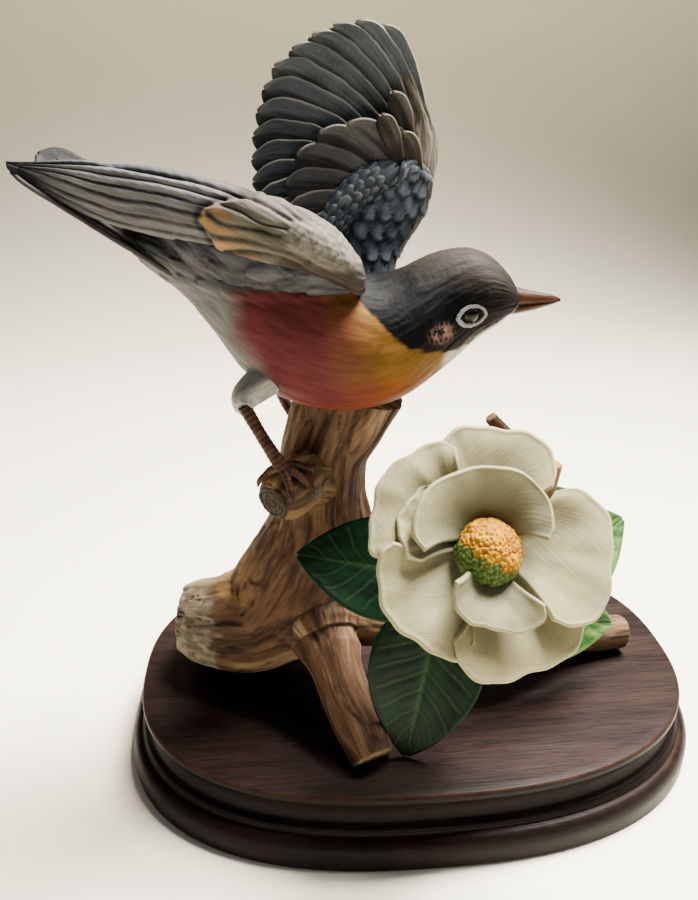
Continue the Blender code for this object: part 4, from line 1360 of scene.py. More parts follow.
@dataclass
class Face:
    """The beak's two mandibles and the eyes in their pale rings."""

    upper: tuple[Row, ...] = ((20.5, 140.6, 4.9, 4.6), (23, 140.6, 4.4, 4.2),
                              (27.5, 140.2, 3.2, 3.2), (34, 139.8, 2, 2),
                              (38.6, 139.5, 1.25, 1.35), (42, 139, 0.4, 0.45))
    lower: tuple[Row, ...] = ((20.5, 137.8, 4.1, 3.2), (27, 137.3, 2.8, 2.3),
                              (33, 137.6, 1.7, 1.5), (38.4, 138.4, 0.9, 0.8),
                              (41, 138.8, 0.3, 0.3))
    eye: Row = (11.0, 138.2)
    eye_radius: float = 3.6
    ring: Row = (4.4, 2.9)
    ring_radius: float = 0.64

    def mandible(self, stations: tuple[Row, ...], over: bool) -> Skin:
        """One half of the beak: ovals along a curved line, flat where it meets the other.

        Args:
            stations: x, z, half-breadth and half-height.
            over: Whether it is the upper half.

        Returns:
            The closed skin.
        """
        path = spline(np.array(stations), 76)
        line = np.column_stack([path[:, 0], np.full(len(path), BIRD_Y), path[:, 1]])
        rings = rings_along(line, path[:, 2:], 48)
        flow = straightened(rings)
        x = rings[..., 0]
        level = (rings[..., 2] - path[:, 1:2]) / path[:, 3:4]
        nostril = bell(np.hypot((x - 26.2) / 1.5, (level - 0.18) / 0.28), 1.0) if over else 0 * x
        grain = noise(flow / [7, 0.8, 0.8], 111, 2)
        out = outward(rings)
        gape = np.interp(x, (22, 28, 33, 41), (137, 138, 138.6, 139))
        mouth = bell(rings[..., 2] - gape, 0.32)
        rings = rings + out * (0.10 * grain - 0.45 * nostril - 0.3 * mouth)[..., None]
        paint = blend(srgb(58, 43, 32), srgb(64, 39, 28), smooth(x + 2 * grain, 24, 38))
        if over:
            paint = blend(paint, srgb(52, 36, 28), smooth(level + 0.2 * grain, 0.35, 0.95))
        else:
            paint = blend(paint, srgb(80, 58, 40), 0.6 * smooth(-level, 0.2, 0.9))
        # Painted shade: the gape line between the mandibles and the nostril's hollow are painted
        # dark, and the wash darkens them too; the dark tip is the beak's own colour.
        dark = np.clip(nostril + mouth + 0.6 * smooth(x, 39.5, 42), 0, 1)
        paint = blend(paint, srgb(52, 34, 28), dark)
        relief = np.clip(0.75 + 0.3 * grain - nostril - mouth, 0, 1)
        return loft(rings, paint, relief, flow)

    def eyeball(self, side: int) -> Skin:
        """A ball sunk in the head, dark brown round a black pupil.

        Args:
            side: -1 for the near side, 1 for the far.

        Returns:
            The closed skin.
        """
        spot, out = (found[0] for found in RobinBody().seat(np.array([self.eye]), side))
        centre = spot - out * (self.eye_radius - 1.15)
        along = unit(np.cross([0, 0, 1.0], out))
        up = np.cross(out, along)
        polar = np.linspace(0, math.pi, 30)[1:-1]
        turn = np.linspace(0, 2 * math.pi, 40, endpoint=False)
        ring = np.cos(turn)[:, None] * along + np.sin(turn)[:, None] * up
        grid = centre + self.eye_radius * (np.sin(polar)[:, None, None] * ring
                                           + np.cos(polar)[:, None, None] * out)
        away = np.broadcast_to(polar[:, None], grid.shape[:2])
        paint = blend(srgb(5, 5, 6), srgb(26, 26, 25), smooth(away, 0.46, 0.56))
        return loft(grid, paint, 0 * away + 0.8, grid)

    def rim(self, side: int) -> Skin:
        """The pale ring round an eye: a flat bead carried round an almond on the head.

        The almond is an ellipse whose height is its sine times a low power of the sine's
        size, which draws both ends out; it dips towards the back.

        Args:
            side: -1 for the near side, 1 for the far.

        Returns:
            The closed skin.
        """
        turn = np.linspace(0, 2 * math.pi, 80, endpoint=False)
        spot = np.linspace(0, 2 * math.pi, 19)
        sine = np.sin(turn) * np.abs(np.sin(turn)) ** 0.3
        flat = np.column_stack([self.ring[0] * np.cos(turn),
                                self.ring[1] * sine + 0.35 * np.cos(turn)])
        seat, out = RobinBody().seat(np.array(self.eye) + flat, side)
        seat = (seat + np.roll(seat, 1, axis=0) + np.roll(seat, -1, axis=0)) / 3
        out = unit(out + np.roll(out, 2, axis=0) + np.roll(out, -2, axis=0))
        seat = seat + 0.28 * out
        outer = unit(seat - seat.mean(axis=0))
        outer = unit(outer - out * (outer * out).sum(axis=1, keepdims=True))
        bead = self.ring_radius * (1 + 0.2 * np.cos(turn + 2.6)[:, None])
        grid = (seat[None] + outer[None] * (bead.T * np.cos(spot)[:, None])[..., None]
                + out[None] * (0.65 * bead.T * np.sin(spot)[:, None])[..., None])
        paint = np.broadcast_to(srgb(112, 114, 115), grid.shape)
        relief = np.broadcast_to(0.75 + 0.2 * np.sin(spot)[:, None], grid.shape[:2])
        rows, columns = grid.shape[:2]
        return Skin(grid.reshape(-1, 3), grid_quads(rows, columns, True), paint.reshape(-1, 3),
                    np.clip(relief, 0, 1).reshape(-1), grid.reshape(-1, 3))

    def build(self, beak: bpy.types.Material, ring: bpy.types.Material,
              eye: bpy.types.Material) -> None:
        """Makes the beak, the rings and the eyes in their three finishes.

        Args:
            beak: The beak's paint.
            ring: The rings' white.
            eye: The eyes' enamel.
        """
        show("beak", [self.mandible(self.upper, True), self.mandible(self.lower, False)], beak)
        show("eye_rings", [self.rim(-1), self.rim(1)], ring)
        show("eyes", [self.eyeball(-1), self.eyeball(1)], eye)


@dataclass
class RaisedWing:
    """The far wing, held straight up, its fans of feathers centred on its arm.

    A fan's feather at angle a has its tip at the fan's middle plus its reach times the
    cosine and sine of a. The wing leans away and is hollow behind, as a parabola.
    """

    root_y: float = 13.0
    facing: Row = (0, -1, 0.12)
    flights: int = 13
    coverts: int = 7
    arm: tuple[Row, ...] = (
        (-22, 141, -9.2, 140.5, 8.5, 5), (-23.2, 148.1, -7.2, 147.9, 10.2, 5.4),
        (-24, 155, -4.1, 153.2, 11.8, 5.6), (-21.6, 162.7, 2, 162.4, 13.2, 5.6),
        (-15.6, 171, 4.2, 169.9, 14.4, 5), (-11.6, 177, 5.7, 177.3, 15.4, 4.2),
        (-8.2, 182.5, 5.7, 184.5, 16.4, 3.2), (-7, 188.8, 4.2, 190.1, 17, 2.6),
        (-7.6, 195.6, 1.5, 197, 17.6, 2.1), (-8.2, 201, -1, 202.4, 18, 1.7),
        (-8, 206.5, -4, 208.5, 18.4, 1),
    )
    patch: tuple[Row, ...] = (
        (-29.5, 153.5, 2.2), (-27, 160, 4), (-22, 167.2, 4.8), (-15.2, 172.6, 4.8),
        (-7.8, 175.3, 4.4), (-1, 174.6, 3.6), (3.2, 171.6, 1.4),
    )

    def place(self, x: float, z: float, lift: float = 0.0) -> Array:
        """A point on the wing's surface, or in front of it by lift."""
        return np.array([x, self.root_y + 0.07 * (z - 146) + 0.003 * (x + 20) ** 2 - lift, z])

    def fan(self, middle: Row, reach: float, angle: float, lift: float) -> Array:
        """A point at a distance and an angle from a fan's middle."""
        return self.place(middle[0] + reach * math.cos(angle),
                          middle[1] + reach * math.sin(angle), lift)

    def flight_skins(self) -> list[Skin]:
        """The long flight feathers, leading edge first.

        Returns:
            A skin for each feather.
        """
        skins = []
        for i in range(self.flights):
            share = i / (self.flights - 1)
            angle = math.radians(108.5 + 91 * share**0.95)
            reach = 40.4 + 12.8 * min(1, share * 2.3) ** 0.75 - 1.4 * math.sin(math.pi * share**2)
            feather = Feather(
                self.place(0.5 - 15 * share, 190 - 30 * share),
                self.fan((0.5, 177.0), reach, angle, 0.25 * i),
                9.8 + 1.6 * math.sin(math.pi * share), self.facing,
                bow=-1.0 - 4 * share**0.5, tilt=-1.1, rows=74, columns=23,
            )
            skins.append(feather.skin(SLATE, 200 + i))
        return skins

    def covert_skins(self) -> list[Skin]:
        """The greater coverts in one fan, laid over the flight feathers.

        Returns:
            A skin for each feather.
        """
        skins = []
        for i in range(self.coverts):
            share = i / (self.coverts - 1)
            angle = math.radians(98 + 92 * share)
            feather = Feather(
                self.place(-4 - 6 * share, 172 - 12 * share, 2.0),
                self.fan((-10.0, 160.0), 28.5 + 6.0 * math.sin(math.pi * share), angle, 4.0),
                10.4, self.facing, bow=-2.6, tilt=-1.0, rows=64, columns=23,
            )
            skins.append(feather.skin(COVERT, 230 + i))
        return skins

    def lesser_skins(self) -> list[Skin]:
        """A swelling band of small scales beside the arm, and three tongues above it.

        Returns:
            The band's skin and the tongues' skins.
        """
        path = spline(np.array(self.patch), 130)
        line = np.array([self.place(x, z, 3.0) for x, z in path[:, :2]])
        rings = rings_along(line, path[:, [2, 2]] * [1.0, 0.55], 84, (1, 0, 0))
        flow = straightened(rings)
        turn = np.linspace(0, 1, 84, endpoint=False)[None, :]
        wobble = 0.3 * noise(flow / 4.0, 123, 2)
        high, place, which = scales(flow[..., 0] / 3.3 + wobble, turn * 10 + wobble)
        strokes = noise(flow / [3, 0.7, 0.7], 125, 2)
        height = 0.75 * high * (1 - 0.35 * place**2) + 0.06 * strokes
        # Each scale is painted darker at its root, under the row above, and lighter at its raised
        # tip: partly pale fringes, partly painted shade and highlight.
        paint = blend(GREY.root, GREY.vane, smooth(high + 0.4 * strokes, 0.0, 0.9))
        paint = blend(paint, GREY.edge, smooth(high + 0.25 * strokes + 0.2 * which, 0.75, 1.15))
        skins = [loft(rings + outward(rings) * height[..., None], paint,
                      np.clip(0.3 + 0.7 * high + 0.15 * strokes, 0, 1), flow)]
        for i, (x, z, end_x, end_z) in enumerate(((-3.5, 184.0, -9.0, 197.8),
                                                  (-6.8, 178.0, -12.4, 191.6),
                                                  (-0.8, 174.5, -6.0, 186.8))):
            tongue = Feather(self.place(x, z, 4.2), self.place(end_x, end_z, 5.4 - 1.6 * (i == 0)),
                             6.2, self.facing, bow=-0.6, tilt=-0.5, arch=0.4, rows=50, columns=23)
            skins.append(tongue.skin(TONGUE, 254 + i))
        return skins

    def arm_skin(self) -> Skin:
        """The arm: scalloped rows low down, and long brown strokes up its leading edge.

        Returns:
            The closed skin.
        """
        rings = pillow_rings(self.arm, 180, 104)
        flow = straightened(rings)
        x, z = rings[..., 0], rings[..., 2]
        wobble = noise(flow / 6.0, 127, 2)
        high, place, _ = scales((182 - z) / 5.6 + 0.3 * wobble, x / 4.6 + 0.2 * wobble)
        hatch = np.sin(2 * math.pi * (x / 1.15 + 0.3 * wobble))
        strokes = noise((flow + wobble[..., None]) / [11, 0.9, 0.9], 121, 3)
        line = np.interp(x, (-14, -6, -1, 3.4, 7), (179.0, 180.0, 179.0, 174.8, 169.0))
        rise = smooth(z - line + 1.2 * wobble, -1.6, 1.6)
        height = (1 - rise) * (0.7 * high * (1 - 0.3 * place**2) + 0.08 * hatch)
        height += 0.30 * strokes * rise - 0.4 * bell(z - line + 1.2 * wobble, 0.8)
        # Each scallop is painted darker at its root, under the row above, and lighter at its raised
        # tip: partly pale fringes, partly painted shade and highlight.
        paint = blend(GREY.root, GREY.vane, smooth(high + 0.3 * strokes, 0.2, 1.0))
        lead = blend(srgb(48, 45, 42), srgb(92, 84, 75), smooth(strokes + 0.12 * (x + 4), -0.6, 0.9))
        paint = blend(paint, lead, rise)
        edge = smooth(x - np.interp(z, (150, 165, 180, 200), (-8, -1, 1, -4)), 0, 5)
        paint = blend(paint, srgb(74, 66, 60), 0.5 * edge * (1 - rise))
        relief = np.clip(0.35 + 0.45 * high + 0.12 * hatch + 0.3 * rise + 0.35 * strokes, 0, 1)
        return loft(rings + outward(rings) * height[..., None], paint, relief, flow)

    def build(self, finish: bpy.types.Material) -> None:
        """Makes the wing's four pieces.

        Args:
            finish: The painted plumage.
        """
        show("raised_flights", self.flight_skins(), finish)
        show("raised_coverts", self.covert_skins(), finish)
        show("raised_small_coverts", self.lesser_skins(), finish)
        show("raised_arm", [self.arm_skin()], finish)


@dataclass
class NearWing:
    """The near wing, half folded: one full form with its feathers raised and cut on it.

    Attributes:
        stations: Low x and z, high x and z, middle y and half thickness.
        cuts: The lines between the long feathers, from the tip forward.
        group: The edge of the golden coverts, round their tips.
        folds: The lines between those coverts.
        boss: The edge of the small scales on the shoulder.
    """

    stations: tuple[Row, ...] = (
        (-21.9, 149, -22.2, 152, -22.5, 1.5), (-22.6, 147, -24.3, 155.6, -22.5, 4.6),
        (-27.5, 149.4, -30.4, 162.9, -22.3, 7.2), (-37, 152.6, -38.6, 168.2, -22, 8.2),
        (-47.5, 154.9, -49, 172.6, -21.5, 7.8), (-58, 157.6, -60, 176.2, -21, 6.6),
        (-70, 160.8, -72.5, 179.2, -21, 5.2), (-82, 163.8, -85, 180.9, -21, 4),
        (-93, 167.4, -96, 181.7, -21, 3), (-103, 172.6, -105, 181.6, -21.2, 2),
        (-109.3, 176.6, -110, 181.5, -21.5, 1.3), (-113.3, 179.9, -113.5, 181.6, -21.5, 0.6),
    )
    cuts: tuple[tuple[Row, ...], ...] = (
        ((-113, 181.3), (-106, 181.4), (-93.7, 180.9), (-81.5, 179.6), (-69.1, 177.2), (-58.6, 174.4),
         (-47, 170.5)),
        ((-112, 181), (-106.5, 180.7), (-93.9, 179.6), (-81.7, 177.7), (-69.3, 175.2),
         (-58.7, 172.4)),
        ((-111, 180.6), (-98.9, 178.6), (-86.7, 176.2), (-75.6, 173.9), (-67.4, 172), (-58.8, 170)),
        ((-110, 180), (-99.1, 177), (-87.1, 173.4), (-75.9, 171.2), (-69.7, 169.8),
         (-63.3, 168.6)),
        ((-110, 179.2), (-99.5, 174.6), (-87.5, 170), (-76.3, 167.4), (-64.9, 165.2)),
        ((-109.6, 178.6), (-99.5, 172.5), (-87.5, 166.9), (-76.3, 164), (-62.9, 161.8)),
    )
    group: tuple[Row, ...] = (
        (-44.3, 174.1), (-48.4, 173), (-54.8, 172.2), (-60.5, 171.3), (-63.9, 169.7),
        (-64.9, 168), (-64.3, 166.2), (-63, 164.3), (-62.2, 162.4), (-61.4, 160.4),
        (-59.1, 158.8), (-55.1, 157.4), (-50.3, 155.8), (-44.3, 154),
    )
    folds: tuple[tuple[Row, ...], ...] = (
        ((-59.6, 171), (-53.8, 169.2), (-48.7, 166.5), (-42.7, 164.9)),
        ((-62.3, 168.8), (-59.2, 166.8), (-55, 165.9), (-49.8, 165), (-44.4, 163.6)),
        ((-64.3, 165.9), (-61.7, 163.7), (-57.3, 162.9), (-52.6, 162.3), (-46.3, 160.8),
         (-42.8, 159.8), (-36.5, 157.2)),
        ((-58.5, 159.4), (-52.1, 159.4), (-44.7, 158.2), (-38.7, 156.2)),
        ((-55.4, 174.1), (-48.5, 170.6), (-41.2, 166.6)),
        ((-50.4, 173.6), (-42.5, 169), (-36.2, 164.6)),
        ((-45.4, 172.4), (-37.5, 167.4), (-31.2, 161.6)),
    )
    boss: tuple[Row, ...] = (
        (-24.6, 157.2), (-28.2, 162.6), (-32.7, 165.3), (-37.5, 166.4), (-41, 165),
        (-42.6, 162.8), (-41.4, 160.6), (-37.5, 158.3), (-32.8, 156), (-27.8, 154.2),
        (-24, 153.4),
    )

    def skin(self) -> Skin:
        """The wing: bands between the cuts stand up round, and each group steps up its edge.

        A band's height over its nearest cut, at distance d, is that of a quarter circle of
        the band's rounding; a group's is a soft step across its edge.

        Returns:
            The closed skin.
        """
        rings = pillow_rings(self.stations, 320, 144)
        flow = straightened(rings)
        x, z = rings[..., 0], rings[..., 2]
        wobble = noise(flow / [14, 5, 5], 131, 2)[..., None] * [0.5, 0, 0.5]
        places = rings + wobble
        strokes = noise((flow + 2 * wobble) / [9, 0.9, 0.9], 133, 3)
        barbs = np.sin(2 * math.pi * (x + 1.7 * z + 2 * wobble[..., 0]) / 2.3)
        cuts = [chain_gap(places, cut) for cut in self.cuts]
        away = np.min([gap for _, gap in cuts], axis=0)
        under = np.min([np.where(across < 0, -across, 9.0) for across, _ in cuts], axis=0)
        inside = chain_gap(places, self.group)[0]
        grouped = smooth(inside, -0.3, 0.7) * smooth(x, -66.5, -65.5)
        grouped = np.maximum(grouped, smooth(x, -50, -47))
        fold = np.min([chain_gap(places, each)[1] for each in self.folds], axis=0)
        bossed = smooth(chain_gap(places, self.boss)[0], -0.3, 0.9) * smooth(x, -44, -42.5)
        taper = smooth(x, -115, -88) * 0.7 + 0.3
        round_band = np.sqrt(1 - (1 - np.clip(away / 1.2, 0, 1)) ** 2)
        round_fold = np.sqrt(1 - (1 - np.clip(fold / 1.4, 0, 1)) ** 2)
        ripple, place, which = scales((-x - 0.5 * z) / 3.1 + wobble[..., 0], (z - 0.6 * x) / 2.6)
        height = (1 - grouped) * taper * (0.85 * round_band - 0.4 * bell(away, 0.35) - 0.5)
        height += grouped * (0.7 * round_fold - 0.3 * bell(fold, 0.45) + 0.8) * (1 - 0.5 * bossed)
        height += bossed * (0.9 + 0.34 * ripple * (1 - 0.3 * place**2))
        height += 0.10 * strokes + 0.04 * barbs * taper
        lit = bell(under - 1.0, 1.1)
        band = blend(TAUPE.vane, TAUPE.edge, np.clip(0.75 * lit + 0.35 * strokes, 0, 1))
        band = blend(band, srgb(78, 66, 55), 0.7 * smooth(under, 2.0, 4.5) * smooth(z, 182, 168))
        band = blend(band, TAUPE.root * 0.8, smooth(x, -92, -113))
        # Painted shade and light: the coverts are darker in the folds between them and lighter on
        # their rounded tops.
        olive = blend(GOLDEN.root, GOLDEN.vane, np.clip(0.65 * round_fold + 0.5 * strokes, 0, 1))
        gold = smooth(x + 0.55 * (z - 166) + 1.2 * strokes, -52, -62)
        olive = blend(olive, GOLDEN.edge, gold * (0.85 + 0.2 * strokes) * smooth(fold, 0.3, 1.4))
        # Painted light and shade: the shoulder's scales are lighter on their ripples and darker
        # between them.
        scale = blend(srgb(62, 58, 53), srgb(96, 91, 83), smooth(ripple + 0.3 * which, 0.0, 1.1))
        olive = blend(olive, scale, bossed)
        line = np.interp(x, (-50, -44, -37, -30, -22), (156.5, 158.5, 157.5, 155, 153.5))
        shade = smooth(z - line, 0.3, -1.6) * smooth(x, -50, -43)
        olive = blend(olive, srgb(40, 34, 31), 0.85 * shade)
        paint = blend(band, olive, grouped)
        # Painted shadow: a dark band just outside the golden coverts' edge, under their overhang.
        paint = blend(paint, srgb(24, 21, 21), 0.8 * bell(inside + 0.9, 1.0) * (1 - grouped)
                      * smooth(x, -68, -66))
        relief = (1 - grouped) * (0.32 + 0.42 * smooth(away, 0.05, 0.75))
        relief += grouped * (0.42 + 0.27 * smooth(fold, 0.05, 0.8) * (1 - bossed)
                             + bossed * (0.25 + 0.35 * ripple))
        relief = np.clip(relief + 0.22 * strokes + 0.08 * barbs, 0, 1)
        return loft(rings + outward(rings) * height[..., None], paint, relief, flow)

    def build(self, finish: bpy.types.Material) -> None:
        """Makes the wing."""
        show("near_wing", [self.skin()], finish)


@dataclass
class TailAndFlank:
    """The tail's straight fan and the pale flanks between wing and breast."""

    tail_feathers: int = 6
    flank: tuple[Row, ...] = (
        (-22.8, 146.4, -22.8, 155, -17, 5), (-27, 143.8, -27, 158, -17, 8.6),
        (-38, 143.2, -38, 161, -17, 10.6), (-48, 143.6, -48, 163, -16.6, 10.8),
        (-58, 145, -58, 165, -15.8, 10.2), (-67, 150.6, -68, 167.5, -15, 8.8),
        (-75, 158.4, -77, 170.5, -14.5, 6.8), (-82, 165.6, -84, 173, -14.5, 4.5),
    )

    def tail_skins(self) -> list[Skin]:
        """Broad feathers that leave the rump at a steep slope, and the core that carries them.

        Returns:
            A skin for each feather, and the core's.
        """
        skins = []
        for i in range(self.tail_feathers):
            share = i / (self.tail_feathers - 1)
            spread = share - 0.5
            feather = Feather(
                np.array([-58.0, BIRD_Y + 13 * spread, 139.0 + 8 * share]),
                np.array([-113.0 + 6.5 * share, BIRD_Y + 24 * spread, 179.0 + 1.2 * share]),
                10.4, (0.6, -0.1, 0.78), bow=1.5 * spread, tilt=0.8, rows=64, columns=21,
            )
            skins.append(feather.skin(TAIL, 360 + i))
        corner = Feather(np.array([-66.0, 6.0, 154.0]), np.array([-113.4, 9.0, 181.2]), 13.5,
                         (0.25, -0.75, 0.6), tilt=0.6, rows=64, columns=21)
        skins.append(corner.skin(TAIL, 369))
        core = spline(np.array([(-60, 141, 9.5, 6), (-80, 157, 9, 4.2), (-98, 170, 9.5, 1.8)]), 60)
        line = np.column_stack([core[:, 0], np.full(len(core), BIRD_Y), core[:, 1]])
        rings = rings_along(line, core[:, 2:], 48)
        flow = straightened(rings)
        strokes = noise(flow / [12, 1.2, 1.2], 141, 2)
        paint = blend(TAIL.root, TAIL.under, smooth(strokes, -0.6, 0.8))
        skins.append(loft(rings, paint, np.clip(0.6 + 0.4 * strokes, 0, 1), flow))
        return skins

    def flank_skins(self) -> list[Skin]:
        """A low swelling on each side, cut into three rows of broad round-tipped scales.

        Returns:
            The near flank's skin and the far one's.
        """
        skins = []
        for side in (-1, 1):
            rings = pillow_rings(self.flank, 150, 100)
            flow = straightened(rings)
            x, z = rings[..., 0], rings[..., 2]
            wobble = noise(flow / [7, 4, 4], 143, 2)
            line = np.interp(x, (-82, -66, -56, -24), (170, 151, 146, 143.6))
            high, place, which = scales((-x - 22) / 8.6 + 0.12 * wobble,
                                        (z - line) / 5.4 + 0.12 * wobble)
            strokes = noise((flow + wobble[..., None]) / [6, 0.8, 0.8], 145, 3)
            comb = np.sin(2 * math.pi * (z - 0.35 * x) / 1.05 + 2 * wobble) * smooth(high, 0.35, 0.9)
            height = 0.85 * high * (1 - 0.35 * place**4) + 0.05 * comb + 0.07 * strokes
            crease = smooth(np.abs(place), 0.80, 0.97) * (1 - 0.5 * smooth(high, 0.6, 0.9))
            tone = np.clip(0.45 + 0.35 * strokes + 0.4 * (which - 0.5), 0, 1)
            paint = blend(blend(PEARL.root, PEARL.edge, tone), PEARL.root * 0.6, 0.7 * crease)
            # Darker streaks towards the tail: partly the dark undertail feathers, partly painted
            # shade under the wing and the tail.
            dark = smooth(x + 3 * wobble + 0.6 * (z - 160), -70.5, -74.5)
            paint = blend(paint, srgb(28, 26, 27), dark * smooth(strokes, -0.7, 0.1))
            relief = np.clip(0.42 + 0.45 * high - 0.35 * crease + 0.10 * comb + 0.12 * strokes, 0, 1)
            grown = rings + outward(rings) * height[..., None]
            if side > 0:
                grown[..., 1] = 2 * BIRD_Y - grown[..., 1]
            skins.append(loft(grown, paint, relief, flow))
        return skins

    def build(self, dark: bpy.types.Material, pale: bpy.types.Material) -> None:
        """Makes the tail and the flanks."""
        show("tail", self.tail_skins(), dark)
        show("flank_feathers", self.flank_skins(), pale)


@dataclass
class Leg:
    """A feathered thigh, a ringed shank and four toes with claws."""

    name: str
    thigh: tuple[Row, ...]
    shank: tuple[Row, ...]
    toes: tuple[Row, ...]
    shank_radius: float = 2.0
    toe_radius: float = 1.25

    def limb(self, stations: Array, radii: Array, count: int, rings_a_mm: float,
             seed: int) -> Skin:
        """A round limb with scutes: its radius swells by a sine along its length.

        Args:
            stations: The points it passes through.
            radii: Its radius at each of them.
            count: Rings along it.
            rings_a_mm: Scutes a millimetre.
            seed: Which colour variation.

        Returns:
            The closed skin.
        """
        path = spline(np.column_stack([stations, radii]), count)
        rings = rings_along(path[:, :3], path[:, [3, 3]], 24)
        flow = straightened(rings)
        wave = np.sin(2 * math.pi * rings_a_mm * flow[..., 0])
        grown = path[:, None, :3] + (rings - path[:, None, :3]) * (1 + 0.03 * wave)[..., None]
        tone = noise(flow / 3.0, seed, 3)
        paint = blend(srgb(36, 25, 20), srgb(70, 48, 36), smooth(0.35 * wave + tone, -0.8, 1.0))
        return loft(grown, paint, np.clip(0.66 + 0.22 * wave + 0.2 * tone, 0, 1), flow)

    def thigh_skin(self) -> Skin:
        """The thigh's downy cone, pale with fine strokes.

        Returns:
            The closed skin.
        """
        path = spline(np.column_stack([self.thigh, [(6.4, 5.6), (4.6, 4.2), (3.0, 2.7)]]), 48)
        rings = rings_along(path[:, :3], path[:, 3:], 48)
        flow = straightened(rings)
        strokes = noise(flow / [8, 1.6, 1.6], 151, 2)
        out = outward(rings)
        paint = blend(srgb(132, 130, 126), srgb(160, 158, 152), smooth(strokes, -0.5, 0.6))
        return loft(rings + out * (0.12 * strokes)[..., None], paint,
                    np.clip(0.7 + 0.4 * strokes, 0, 1), flow)

    def build(self, down: bpy.types.Material, horn: bpy.types.Material) -> None:
        """Makes the thigh, and the shank with its foot.

        Args:
            down: The thigh's finish.
            horn: The shank's and the foot's.
        """
        show(self.name + "_thigh", [self.thigh_skin()], down)
        shank = np.asarray(self.shank, float)
        radii = np.array([1.0, 0.92, 1.1]) * self.shank_radius
        skins = [self.limb(shank, radii, 90, 0.62, 153)]
        for i, end in enumerate(self.toes):
            foot, end = shank[-1], np.asarray(end, float)
            bend = (foot + end) / 2 + [0, 0, 1.2]
            stations = np.array([foot, bend, end])
            radii = np.array([1.15, 1.0, 0.8]) * self.toe_radius
            skins.append(self.limb(stations, radii, 44, 0.75, 155 + i))
            hook = end + unit(end - bend) * 1.8 + [0, 0, -1.4]
            claw = np.array([end - unit(end - bend) * 0.8, end + unit(end - bend) * 1.1, hook])
            skins.append(self.limb(claw, np.array([1.2, 0.8, 0.25]), 24, 0.0, 165 + i))
        show(self.name + "_foot", skins, horn)


@dataclass(frozen=True)
class Petal:
    """One petal on a fan of lines from the flower's heart.

    Attributes:
        name: The petal's name.
        middle: Angle of its middle, in degrees.
        spread: Half its angle.
        reach: Its length.
        rise: How far its rim comes forward.
        cup: How far its sides come forward.
        notch: How much its rim falls back at the sides.
        lean: Which side lies on top of its neighbour.
        roll: How far its rim turns over.
        skew: How much farther it reaches on its left than on its right.
    """

    name: str
    middle: float
    spread: float
    reach: float
    rise: float
    cup: float
    notch: float
    lean: float
    roll: float
    skew: float = 0.0


